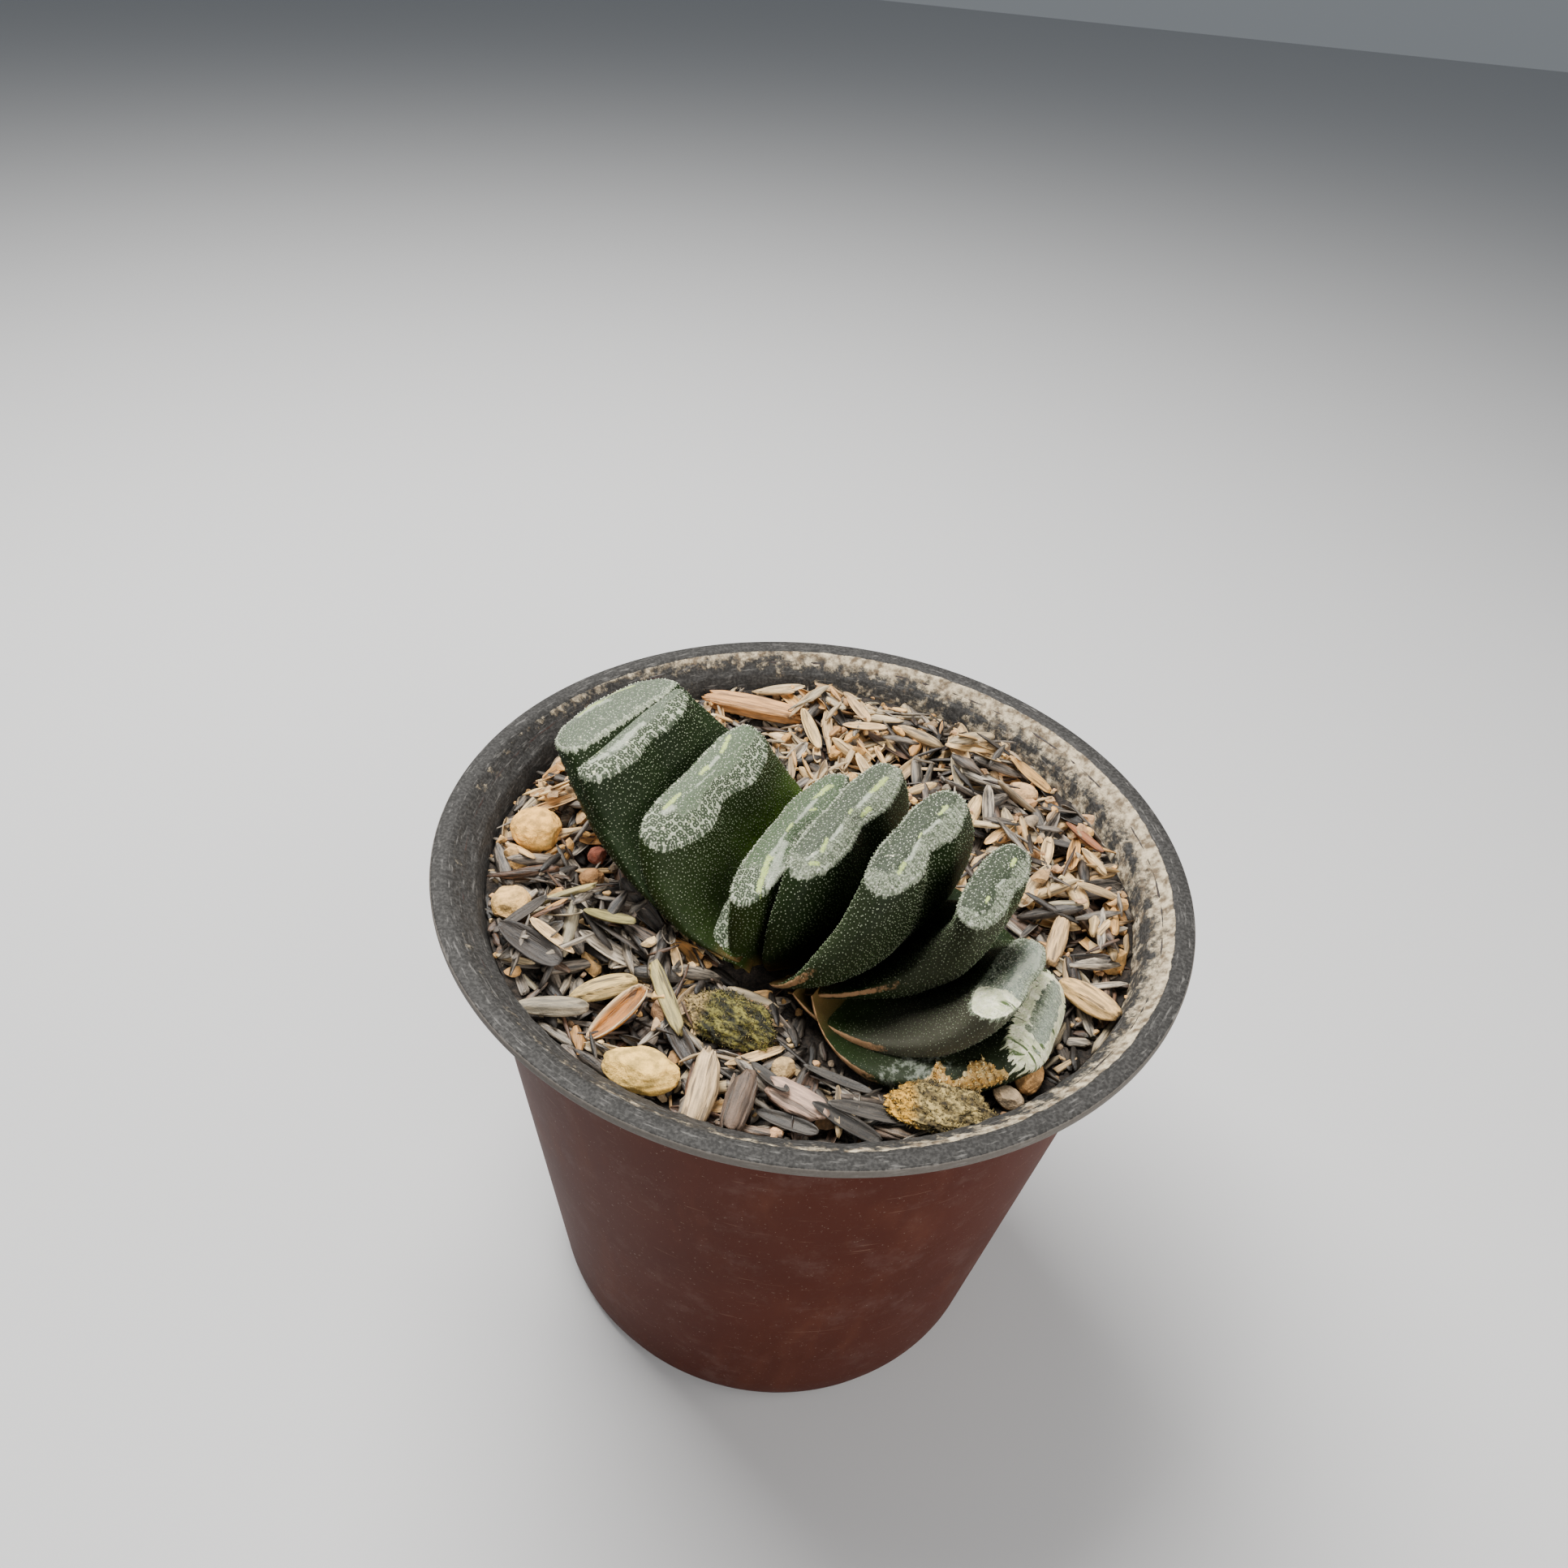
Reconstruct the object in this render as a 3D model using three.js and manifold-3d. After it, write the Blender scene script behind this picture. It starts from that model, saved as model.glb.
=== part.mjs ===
// Horse's teeth plant, Haworthia truncata, in a small round nursery pot.
// Millimetres, +Z up. The origin is the middle of the underside of the pot.

import * as THREE from 'three';
import { mergeVertices } from 'three/addons/utils/BufferGeometryUtils.js';
import Module from 'manifold-3d';

const wasm = await Module();
wasm.setup();

// Driving dimensions of the pot.
const POT_HEIGHT = 82;
const RIM_RADIUS = 50;
const RIM_INNER_RADIUS = 47.8;
const RIM_THICKNESS = 1.4;
const WALL_TOP_RADIUS = 46;
const FOOT_RADIUS = 35;
const WALL_THICKNESS = 1.1;
const FLOOR_THICKNESS = 1.6;
const STEP_DEPTH = 6;
const STEP_WIDTH = 0.5;
const FOOT_BEVEL = 1.8;
const EDGE_ROUND = 0.4;
const LIP_DEPTH = 3;
const POT_SIDES = 48;
const DRAIN_HOLES = 6;
const DRAIN_HOLE_RADIUS = 3.5;
const DRAIN_CIRCLE_RADIUS = 23;

// Driving dimensions of what the pot holds. CLEARANCE is the gap between pieces that touch.
const CLEARANCE = 0.3;
const HUSK_SHELL = 0.6;
const HUSK_DEPTH = 0.36;
const CHIP_SIDES = 6;
const FOOT_HOLLOW = [12, 15.2, 3.6];
const SOIL_LEVEL = 74.6;
const SOIL_RISE = 0.9;
const SOIL_BANK = 3.6;
const SOIL_RINGS = 6;
const SOIL_SIDES = 32;
const GRAIN_COUNT = 100;
const GRAIN_LENGTH = 7;

// Driving dimensions of the stem and roots, with heights above the underside of the pot.
const ROOTS = 4;
const STEM_FOOT_HEIGHT = 60;
const STEM_RADII = [3, 4.4];
const ROOT_RADII = [1.9, 0.9];
const ROOT_REACH = 15;
const ROOT_TIP_HEIGHT = 30;

// The leaves stand in two ranks along the fan line, which is turned this far from +X.
const FAN_TURN = THREE.MathUtils.degToRad(-29);
const STEM_ALONG = 2.5;
const STEM_ACROSS = -4.5;
const LEAF_FOOT_HEIGHT = 73;
const LEAF_STATIONS = 8;
const LEAF_SIDES = 20;
const WINDOW_CROWN = 0.9;
const ROUND_ENDS = 0.8;
const ROUND_FACES = 0.75;
const THIN_MARGIN = 0.55;
const WRAP_POWER = 2.2;
const WAIST_SPREAD = 0.26;
const NOTCH_LEAN = 0.7;

// Each leaf. rank: -1 leans to the left of the stem, 1 to the right. out and across: place of the foot
// from the stem. lean: degrees from upright at the foot and at the window. halfWidth and halfThick: at
// the foot and at the window. belly: extra half width half way up. wrap: how far the margins close
// round the stem at the foot and at the window. waist: pinch of the window's middle, which NOTCH_LEAN
// makes deeper on the side towards +X. cut and skew: slopes of the window, through it and along it.
const LEAVES = [
  { name: 'leaf_young', rank: -1, out: 3.8, across: -3.6, turn: 2.8, lean: [30, 18],
    length: 7.2, halfWidth: [10.6, 12.4], belly: 0.6, halfThick: [1.4, 2.5],
    wrap: [3.4, 0.4], waist: 0, cut: 30, skew: 6.5 },
  { name: 'leaf_right_1', rank: 1, out: 0.2, across: -0.9, turn: 4, lean: [-19, -14],
    length: 15, halfWidth: [12, 14], belly: 1, halfThick: [1.6, 3.3],
    wrap: [3.6, -0.8], waist: 0.25, cut: 0, skew: 3 },
  { name: 'leaf_left_1', rank: -1, out: 4, across: -1.6, turn: 2, lean: [60, 10],
    length: 21, halfWidth: [13.2, 13], belly: 2.6, halfThick: [1.8, 3.6],
    wrap: [4, -0.8], waist: 0.25, cut: 28, skew: 4 },
  { name: 'leaf_right_2', rank: 1, out: 4.5, across: 0.7, turn: -2, lean: [5, -13],
    length: 19.7, halfWidth: [12, 11.5], belly: 3.3, halfThick: [1.6, 3.2],
    wrap: [3.5, 0.2], waist: 0.2, cut: -15, skew: 6 },
  { name: 'leaf_left_2', rank: -1, out: 5.7, across: -2, turn: 2, lean: [64, 28],
    length: 30, halfWidth: [14.2, 11.2], belly: 1.4, halfThick: [1.8, 2.6],
    wrap: [4.6, -0.8], waist: 0.2, cut: 28, skew: 3 },
  { name: 'leaf_right_3', rank: 1, out: 7.2, across: -1.8, turn: -7, lean: [43, -11],
    length: 26, halfWidth: [13.2, 8.5], belly: 3.6, halfThick: [1.6, 3.3],
    wrap: [3.5, 0.1], waist: 0.22, cut: -13, skew: 13 },
  { name: 'leaf_left_3', rank: -1, out: 7.3, across: -2.5, turn: -2.4, lean: [61, 41],
    length: 33, halfWidth: [13.4, 10.6], belly: 2.4, halfThick: [1.8, 3.6],
    wrap: [5, 1.5], waist: 0, cut: 25, skew: 0 },
  { name: 'leaf_right_4', rank: 1, out: 6.7, across: -1.8, turn: 0, lean: [80, -4],
    length: 31, halfWidth: [13.5, 7], belly: -1.8, halfThick: [1.6, 2.8],
    wrap: [3.5, 0], waist: 0.1, cut: -10, skew: 7 },
  { name: 'leaf_right_5', rank: 1, out: 5.5, across: -4, turn: 0, lean: [110, 17],
    length: 30, halfWidth: [13, 9.3], belly: 1.5, halfThick: [1.6, 2.7],
    wrap: [6.3, 0.3], waist: 0.12, cut: 28, skew: -12 },
  { name: 'leaf_right_6', rank: 1, out: 7.3, across: -3.5, turn: 1, lean: [110, 43],
    length: 29, halfWidth: [13, 8.6], belly: 5.8, halfThick: [1.6, 3.2],
    wrap: [7, 0.4], waist: 0.05, cut: 13, skew: -9 },
];

// Stones that lie loose on the soil: place in plan, length, width and height, and turn in degrees.
const STONES = [
  { name: 'stone_front_left', at: [-17.9, -35.5], size: [9, 5.8, 4], turn: -12, colour: 0xc9ab78 },
  { name: 'stone_left_large', at: [-38, 1.9], size: [6.6, 7.4, 4.6], turn: 20, colour: 0xc8a873 },
  { name: 'stone_left_mid', at: [-38.5, -11.7], size: [4.6, 5, 3.4], turn: 10, colour: 0xc2a987 },
  { name: 'stone_front_mid', at: [-1.8, -32.4], size: [2.9, 3.1, 2.4], turn: 0, colour: 0xb9986d },
  { name: 'stone_right_rust', at: [26.8, -30.9], size: [3.2, 5.2, 3.2], turn: -15, colour: 0xb9854a },
  { name: 'stone_right_round', at: [24.2, -33.9], size: [3.7, 2.5, 2.2], turn: -35, colour: 0xb89a70 },
  { name: 'stone_left_red', at: [-29.6, 0.5], size: [2.5, 2.5, 2], turn: 0, colour: 0x93503b },
  { name: 'stone_left_orange', at: [-29.4, -4.7], size: [3.3, 3.1, 2.4], turn: 0, colour: 0xb67a45 },
  { name: 'stone_back_left', at: [-29.6, 23.4], size: [5.5, 4, 3.2], turn: 35, colour: 0xcfae86 },
  { name: 'stone_back_right', at: [30.4, 21.7], size: [4.6, 3.6, 3], turn: -20, colour: 0xcdaa7e },
];

// Husks and chips: a husk is a thin open boat, a chip is a solid splinter. lift is the height of the
// middle above the soil, pitch tips one end up and roll tips one side up.
const HUSKS = [
  { name: 'husk_open', at: [-22, -28.1], size: [9.6, 3.4], turn: 54, lift: 1.6, pitch: 10, roll: -14 },
  { name: 'husk_tan', at: [-24.4, -23.8], size: [8.6, 3.4], turn: 22, lift: 1, pitch: 5, roll: 175 },
  { name: 'husk_grey', at: [-29.8, -28.2], size: [9, 2.8], turn: 6, lift: 0.9, pitch: 0, roll: 180 },
  { name: 'husk_right', at: [35.3, -18.1], size: [9.2, 4], turn: -46, lift: 1.6, pitch: 8, roll: 180 },
];
const CHIPS = [
  { name: 'chip_upright', at: [-11.1, -38], size: [9, 3.2, 2], turn: 82, lift: 1.8, pitch: 20 },
  { name: 'chip_dark', at: [-6.4, -39.2], size: [7, 3, 2.2], turn: 76, lift: 1.6, pitch: 14 },
  { name: 'chip_back', at: [-10.8, 35.3], size: [15, 4, 2.4], turn: -10, lift: 0.6, pitch: 0 },
  { name: 'chip_right', at: [32.6, -7.4], size: [8, 2.4, 2], turn: 74, lift: 0.8, pitch: 8 },
];

// Clumps: low uneven pieces that lie on the soil, with how coarse their surface is.
const MOSS = { name: 'moss_clump', at: [-8.6, -25.6], size: [12, 7, 4], turn: -20, lift: 0.6, rough: 0.4 };
const BARK = { name: 'bark_flake', at: [16.6, -36.5], size: [12.4, 6.4, 2.8], turn: -6, lift: 1, rough: 0.4 };

// Seeded random numbers, so that every run gives the same part.
function randomFrom(seed) {
  let state = seed;
  return () => {
    state = (state + 0x6d2b79f5) | 0;
    let mixed = Math.imul(state ^ (state >>> 15), 1 | state);
    mixed = (mixed + Math.imul(mixed ^ (mixed >>> 7), 61 | mixed)) ^ mixed;
    return ((mixed ^ (mixed >>> 14)) >>> 0) / 4294967296;
  };
}

const smooth = (t) => t * t * (3 - 2 * t);
const mix = (pair, t) => pair[0] + (pair[1] - pair[0]) * t;
const radians = THREE.MathUtils.degToRad;

// A closed surface through a stack of rings with the same number of points. The last ring closes on
// a point. So does the first, or where no point is given, it closes straight across from side to side.
function skin(rings, last, first) {
  const points = [first ?? rings[0][0], ...rings.flat(), last];
  const count = rings[0].length;
  const index = [];
  if (!first) {
    for (let side = 0; side < count / 2; side += 1) {
      const mirror = 1 + ((count - side) % count);
      if (side > 0) index.push(1 + side, mirror, 2 + side);
      if (side < count / 2 - 1) index.push(2 + side, mirror, count - side);
    }
  }
  for (let side = 0; side < count; side += 1) {
    const next = (side + 1) % count;
    if (first) index.push(0, 1 + next, 1 + side);
    for (let ring = 0; ring < rings.length - 1; ring += 1) {
      const low = 1 + ring * count;
      const high = low + count;
      index.push(low + side, low + next, high + next);
      index.push(low + side, high + next, high + side);
    }
    const top = 1 + (rings.length - 1) * count;
    index.push(top + side, top + next, points.length - 1);
  }
  const geometry = new THREE.BufferGeometry().setFromPoints(points);
  geometry.setIndex(index);
  return facingOut(geometry);
}

function facingOut(geometry) {
  const place = geometry.attributes.position;
  const index = geometry.index.array;
  const corner = [new THREE.Vector3(), new THREE.Vector3(), new THREE.Vector3()];
  let volume = 0;
  for (let i = 0; i < index.length; i += 3) {
    corner.forEach((point, k) => point.fromBufferAttribute(place, index[i + k]));
    volume += corner[0].dot(corner[1].cross(corner[2]));
  }
  if (volume < 0) {
    for (let i = 0; i < index.length; i += 3) {
      [index[i + 1], index[i + 2]] = [index[i + 2], index[i + 1]];
    }
  }
  return geometry;
}

// Between a three.js geometry and a solid that can be joined and cut.
function solidOf(geometry) {
  const plain = geometry.clone();
  plain.deleteAttribute('normal');
  plain.deleteAttribute('uv');
  const merged = mergeVertices(plain, 1e-4);
  const vertProperties = new Float32Array(merged.attributes.position.array);
  const triVerts = new Uint32Array(merged.index.array);
  return new wasm.Manifold(new wasm.Mesh({ numProp: 3, vertProperties, triVerts }));
}

function geometryOf(solid) {
  const mesh = solid.getMesh();
  const geometry = new THREE.BufferGeometry();
  geometry.setAttribute('position', new THREE.BufferAttribute(mesh.vertProperties, 3));
  geometry.setIndex(new THREE.BufferAttribute(mesh.triVerts, 1));
  return geometry;
}

// What is left of a cut piece: its largest body, without loose scraps.
function largestOf(solid) {
  const bodies = solid.decompose();
  return bodies.reduce((best, body) => (body.volume() > best.volume() ? body : best));
}

// Rotated about Z: a LatheGeometry turns about Y.
function turned(profile, sides) {
  const points = profile.map(([radius, height]) => new THREE.Vector2(radius, height));
  return new THREE.LatheGeometry(points, sides).rotateX(Math.PI / 2);
}

// Radius of the wall's outer face at a height.
function wallRadius(height) {
  const step = height > POT_HEIGHT - STEP_DEPTH ? STEP_WIDTH : 0;
  return FOOT_RADIUS + (WALL_TOP_RADIUS - STEP_WIDTH - FOOT_RADIUS) * (height / POT_HEIGHT) + step;
}

function potSolid() {
  const underRim = POT_HEIGHT - RIM_THICKNESS;
  const stepTop = POT_HEIGHT - STEP_DEPTH + 0.01;
  const stepFoot = stepTop - 0.6;
  const innerTop = POT_HEIGHT - LIP_DEPTH;
  const innerFoot = FLOOR_THICKNESS + 1.6;
  const profile = [
    [0, 0],
    [FOOT_RADIUS - FOOT_BEVEL, 0],
    [FOOT_RADIUS - EDGE_ROUND, FOOT_BEVEL / 2],
    [wallRadius(FOOT_BEVEL * 1.6), FOOT_BEVEL * 1.6],
    [wallRadius(stepFoot), stepFoot],
    [wallRadius(stepTop), stepTop],
    [wallRadius(underRim), underRim],
    [RIM_RADIUS - EDGE_ROUND, underRim],
    [RIM_RADIUS, underRim + EDGE_ROUND],
    [RIM_RADIUS, POT_HEIGHT - EDGE_ROUND],
    [RIM_RADIUS - EDGE_ROUND, POT_HEIGHT],
    [RIM_INNER_RADIUS, POT_HEIGHT],
    [wallRadius(innerTop) - WALL_THICKNESS, innerTop],
    [wallRadius(stepFoot) - WALL_THICKNESS, stepFoot - 1],
    [wallRadius(innerFoot) - WALL_THICKNESS, innerFoot],
    [wallRadius(innerFoot) - WALL_THICKNESS - 1.4, FLOOR_THICKNESS],
    [0, FLOOR_THICKNESS],
    [0, 0],
  ];
  let pot = solidOf(turned(profile, POT_SIDES));
  for (let hole = 0; hole < DRAIN_HOLES; hole += 1) {
    const angle = (hole / DRAIN_HOLES) * 2 * Math.PI;
    const deep = FLOOR_THICKNESS * 3;
    const bore = new THREE.CylinderGeometry(DRAIN_HOLE_RADIUS, DRAIN_HOLE_RADIUS, deep, 16);
    bore.rotateX(Math.PI / 2);
    bore.translate(Math.cos(angle) * DRAIN_CIRCLE_RADIUS, Math.sin(angle) * DRAIN_CIRCLE_RADIUS, 0);
    pot = pot.subtract(solidOf(bore));
  }
  return pot;
}

// The directions of the fan: along it, across it and up.
const ALONG = new THREE.Vector3(Math.cos(FAN_TURN), Math.sin(FAN_TURN), 0);
const ACROSS = new THREE.Vector3(-Math.sin(FAN_TURN), Math.cos(FAN_TURN), 0);
const UP = new THREE.Vector3(0, 0, 1);

// A leaf is a stack of rounded oblong rings along a bent middle line, closed by its crowned window.
// grow makes it larger all round, for the room that it needs in its neighbours.
function leafSolid(leaf, grow = 0) {
  const turn = radians(leaf.turn);
  const outward = ALONG.clone().applyAxisAngle(UP, turn).multiplyScalar(leaf.rank);
  const sideways = ACROSS.clone().applyAxisAngle(UP, turn);
  const foot = ALONG.clone().multiplyScalar(STEM_ALONG + leaf.out * leaf.rank)
    .addScaledVector(ACROSS, STEM_ACROSS + leaf.across)
    .addScaledVector(UP, LEAF_FOOT_HEIGHT);
  const [leanFoot, leanTop] = leaf.lean.map(radians);
  const bend = leanTop - leanFoot;
  const bendRadius = leaf.length / bend;
  const extra = grow / leaf.length;
  const rings = [];
  let axis;
  let middle;
  for (let station = 0; station < LEAF_STATIONS; station += 1) {
    const share = station / (LEAF_STATIONS - 1);
    const along = -extra + (1 + 2 * extra) * share;
    const t = Math.min(1, Math.max(0, along));
    const lean = leanFoot + bend * along;
    middle = foot.clone()
      .addScaledVector(outward, bendRadius * (Math.cos(leanFoot) - Math.cos(lean)))
      .addScaledVector(UP, bendRadius * (Math.sin(lean) - Math.sin(leanFoot)));
    axis = outward.clone().multiplyScalar(Math.sin(lean)).addScaledVector(UP, Math.cos(lean));
    const facing = outward.clone().multiplyScalar(Math.cos(lean))
      .addScaledVector(UP, -Math.sin(lean));
    const halfWidth = mix(leaf.halfWidth, smooth(t)) + leaf.belly * 4 * t * (1 - t) + grow;
    const halfThick = mix(leaf.halfThick, smooth(Math.min(1, t * 1.6)));
    const wrap = mix(leaf.wrap, smooth(t));
    const thinning = THIN_MARGIN * (1 - smooth(Math.min(1, t * 1.4)));
    const ring = [];
    for (let side = 0; side < LEAF_SIDES; side += 1) {
      const angle = (side / LEAF_SIDES) * 2 * Math.PI;
      const x = Math.sign(Math.cos(angle)) * Math.abs(Math.cos(angle)) ** ROUND_ENDS;
      const y = Math.sign(Math.sin(angle)) * Math.abs(Math.sin(angle)) ** ROUND_FACES;
      const notch = 1 + NOTCH_LEAN * leaf.rank * Math.sign(y);
      const waist = 1 - leaf.waist * notch * smooth(t) * Math.exp(-((x / WAIST_SPREAD) ** 2));
      const thick = halfThick * waist * (1 - thinning * x * x) + grow;
      const depth = y * thick - wrap * Math.abs(x) ** WRAP_POWER;
      const shear = Math.tan(radians(leaf.cut)) * depth
        + Math.tan(radians(leaf.skew)) * halfWidth * x;
      ring.push(middle.clone()
        .addScaledVector(sideways, halfWidth * x)
        .addScaledVector(facing, depth)
        .addScaledVector(axis, shear * t ** 3));
    }
    rings.push(ring);
  }
  const edge = rings[rings.length - 1];
  const crownMiddle = edge.reduce((sum, point) => sum.add(point), new THREE.Vector3())
    .multiplyScalar(1 / LEAF_SIDES);
  for (const share of [0.93, 0.5]) {
    rings.push(edge.map((point) => crownMiddle.clone().lerp(point, share)
      .addScaledVector(axis, WINDOW_CROWN * (1 - share * share))));
  }
  const top = crownMiddle.clone().addScaledVector(axis, WINDOW_CROWN);
  return solidOf(skin(rings, top));
}

// A tapering root or stem: a stack of rings along a curve.
function taperedRoot(points, radii, sides = 6) {
  const curve = new THREE.CatmullRomCurve3(points);
  const steps = 5;
  const rings = [];
  for (let step = 0; step <= steps; step += 1) {
    const t = step / steps;
    const middle = curve.getPoint(t);
    const tangent = curve.getTangent(t);
    const right = new THREE.Vector3(0, 1, 0.02).cross(tangent).normalize();
    const front = tangent.clone().cross(right);
    const radius = radii[0] + (radii[1] - radii[0]) * t;
    const ring = [];
    for (let side = 0; side < sides; side += 1) {
      const angle = (side / sides) * 2 * Math.PI;
      ring.push(middle.clone()
        .addScaledVector(right, Math.cos(angle) * radius)
        .addScaledVector(front, Math.sin(angle) * radius));
    }
    rings.push(ring);
  }
  return solidOf(skin(rings, curve.getPoint(1), curve.getPoint(0)));
}

// The stem under the leaves and the thick roots of the plant, all one body. grow is as for a leaf.
function rootSolid(grow = 0) {
  const stemX = ALONG.x * STEM_ALONG + ACROSS.x * (STEM_ACROSS - 1);
  const stemY = ALONG.y * STEM_ALONG + ACROSS.y * (STEM_ACROSS - 1);
  const at = (radius, angle, height) => new THREE.Vector3(
    stemX + radius * Math.cos(angle), stemY + radius * Math.sin(angle), height);
  const grown = (radii) => radii.map((radius) => radius + grow);
  const stemTop = LEAF_FOOT_HEIGHT - 0.8 + grow;
  const stemMiddle = (STEM_FOOT_HEIGHT + stemTop) / 2;
  let roots = taperedRoot(
    [at(0, 0, STEM_FOOT_HEIGHT - grow), at(0, 0, stemMiddle), at(0.2, 1, stemTop)], grown(STEM_RADII), 10);
  for (let root = 0; root < ROOTS; root += 1) {
    const angle = 0.5 + (root / ROOTS) * 2 * Math.PI;
    const reach = ROOT_REACH * (1 + 0.2 * Math.sin(root * 2.3));
    const tip = ROOT_TIP_HEIGHT * (1 + 0.2 * Math.cos(root * 1.7)) - grow;
    const start = STEM_FOOT_HEIGHT + 4;
    roots = roots.add(taperedRoot(
      [at(0.6, angle, start), at(reach * 0.5, angle + 0.15, start - 10),
        at(reach * 0.85, angle + 0.3, (start + tip) / 2 - 6), at(reach, angle + 0.45, tip)],
      grown(ROOT_RADII)));
  }
  return roots;
}

// The room inside the pot and above its rim, clear of the pot by the gap.
function potRoom() {
  const inner = (height) => wallRadius(height) - WALL_THICKNESS - CLEARANCE;
  const stepFoot = POT_HEIGHT - STEP_DEPTH - 0.6;
  const wide = RIM_RADIUS * 1.4;
  const profile = [
    [0, FLOOR_THICKNESS + CLEARANCE],
    [inner(6) - 2, FLOOR_THICKNESS + CLEARANCE],
    [inner(6), 6],
    [inner(stepFoot), stepFoot - 1],
    [inner(POT_HEIGHT - LIP_DEPTH), POT_HEIGHT - LIP_DEPTH],
    [RIM_INNER_RADIUS - CLEARANCE, POT_HEIGHT],
    [wide, POT_HEIGHT + CLEARANCE],
    [wide, POT_HEIGHT * 2],
    [0, POT_HEIGHT * 2],
    [0, FLOOR_THICKNESS + CLEARANCE],
  ];
  return solidOf(turned(profile, POT_SIDES));
}

// Height of the soil's surface: banked up towards the wall and the back, with low uneven ground.
function soilHeight(x, y) {
  const slope = SOIL_RISE * (y / RIM_RADIUS);
  const bank = SOIL_BANK * (Math.hypot(x, y) / RIM_INNER_RADIUS) ** 3;
  const uneven = 0.45 * Math.sin(x * 0.31 + 1.2) * Math.cos(y * 0.27 - 0.4)
    + 0.25 * Math.sin(x * 0.63 - y * 0.5);
  return SOIL_LEVEL + slope + bank + uneven;
}

// The body of the soil, whose side follows the inside of the pot.
function soilBody() {
  const inside = (height) => wallRadius(height) - WALL_THICKNESS - CLEARANCE;
  const lowest = FLOOR_THICKNESS + CLEARANCE;
  const belowStep = POT_HEIGHT - STEP_DEPTH - 2;
  const edge = inside(belowStep) + STEP_WIDTH;
  const ringAt = (radius, heightAt) => Array.from({ length: SOIL_SIDES }, (unused, side) => {
    const angle = (side / SOIL_SIDES) * 2 * Math.PI;
    const x = radius * Math.cos(angle);
    const y = radius * Math.sin(angle);
    return new THREE.Vector3(x, y, heightAt(x, y));
  });
  const rings = [
    ringAt(inside(6) - 1.6, () => lowest),
    ringAt(inside(6) - 0.2, () => lowest + 2),
    ringAt(inside(belowStep) - 0.1, () => belowStep),
  ];
  for (let ring = SOIL_RINGS; ring > 0; ring -= 1) {
    rings.push(ringAt(edge * (ring / SOIL_RINGS), soilHeight));
  }
  const top = new THREE.Vector3(0, 0, soilHeight(0, 0));
  return solidOf(skin(rings, top, new THREE.Vector3(0, 0, lowest)));
}

// Whether a place on the soil is left free by the plant's foot and by the loose pieces.
function isOpenGround(x, y) {
  const along = x * ALONG.x + y * ALONG.y - STEM_ALONG;
  const across = x * ACROSS.x + y * ACROSS.y - STEM_ACROSS;
  const half = GRAIN_LENGTH / 2;
  if ((along / (FOOT_HOLLOW[0] + half)) ** 2 + (across / (FOOT_HOLLOW[1] + half)) ** 2 < 1) return false;
  const loose = [...STONES, ...HUSKS, ...CHIPS, MOSS, BARK];
  const away = (piece) => Math.hypot(x - piece.at[0], y - piece.at[1]);
  return loose.every((piece) => away(piece) > piece.size[0] / 2 + half * 0.6);
}

// Charred husks, chips and grit, sunk half way into the soil: slim crystals with a few faces each.
function soilGrains() {
  const random = randomFrom(20);
  const edge = wallRadius(SOIL_LEVEL) - WALL_THICKNESS - GRAIN_LENGTH * 0.62;
  const grains = [];
  for (let grain = 0; grain < GRAIN_COUNT; grain += 1) {
    const radius = edge * Math.sqrt(random());
    const angle = random() * 2 * Math.PI;
    const long = GRAIN_LENGTH * (0.6 + 0.5 * random());
    const broad = 0.9 + 0.5 * random();
    const shape = new THREE.OctahedronGeometry(1).scale(long / 2, broad, 0.8 + 0.4 * random());
    shape.rotateX(random() * Math.PI).rotateY((random() - 0.5) * 0.5).rotateZ(random() * Math.PI);
    const x = radius * Math.cos(angle);
    const y = radius * Math.sin(angle);
    shape.translate(x, y, soilHeight(x, y) + 0.15 * random());
    if (isOpenGround(x, y)) grains.push(solidOf(shape));
  }
  return wasm.Manifold.union(grains);
}

// The hollow round the stem that the feet of the leaves fill.
function footHollow() {
  const hollow = new THREE.SphereGeometry(1, 18, 10).rotateX(Math.PI / 2).scale(...FOOT_HOLLOW);
  const middle = ALONG.clone().multiplyScalar(STEM_ALONG).addScaledVector(ACROSS, STEM_ACROSS - 1);
  return solidOf(hollow.rotateZ(FAN_TURN).translate(middle.x, middle.y, SOIL_LEVEL));
}

// A rounded stone: a coarse ball with uneven radius.
function stoneSolid(stone, grow = 0) {
  const seed = stone.name.length + stone.size[0];
  const ball = mergeVertices(bare(new THREE.IcosahedronGeometry(1, 1)), 1e-4);
  const place = ball.attributes.position;
  const point = new THREE.Vector3();
  for (let i = 0; i < place.count; i += 1) {
    point.fromBufferAttribute(place, i);
    const uneven = 0.09 * Math.sin(3.1 * point.x + seed) + 0.08 * Math.cos(2.7 * point.y + 2 * seed)
      + 0.06 * Math.sin(4.3 * point.z - seed);
    point.multiplyScalar(1 + uneven);
    place.setXYZ(i, point.x * (stone.size[0] / 2 + grow), point.y * (stone.size[1] / 2 + grow),
      point.z * (stone.size[2] / 2 + grow));
  }
  const [x, y] = stone.at;
  ball.rotateZ(radians(stone.turn)).translate(x, y, soilHeight(x, y) + stone.size[2] * 0.22);
  return solidOf(ball);
}

function bare(geometry) {
  geometry.deleteAttribute('normal');
  geometry.deleteAttribute('uv');
  return geometry;
}

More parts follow.
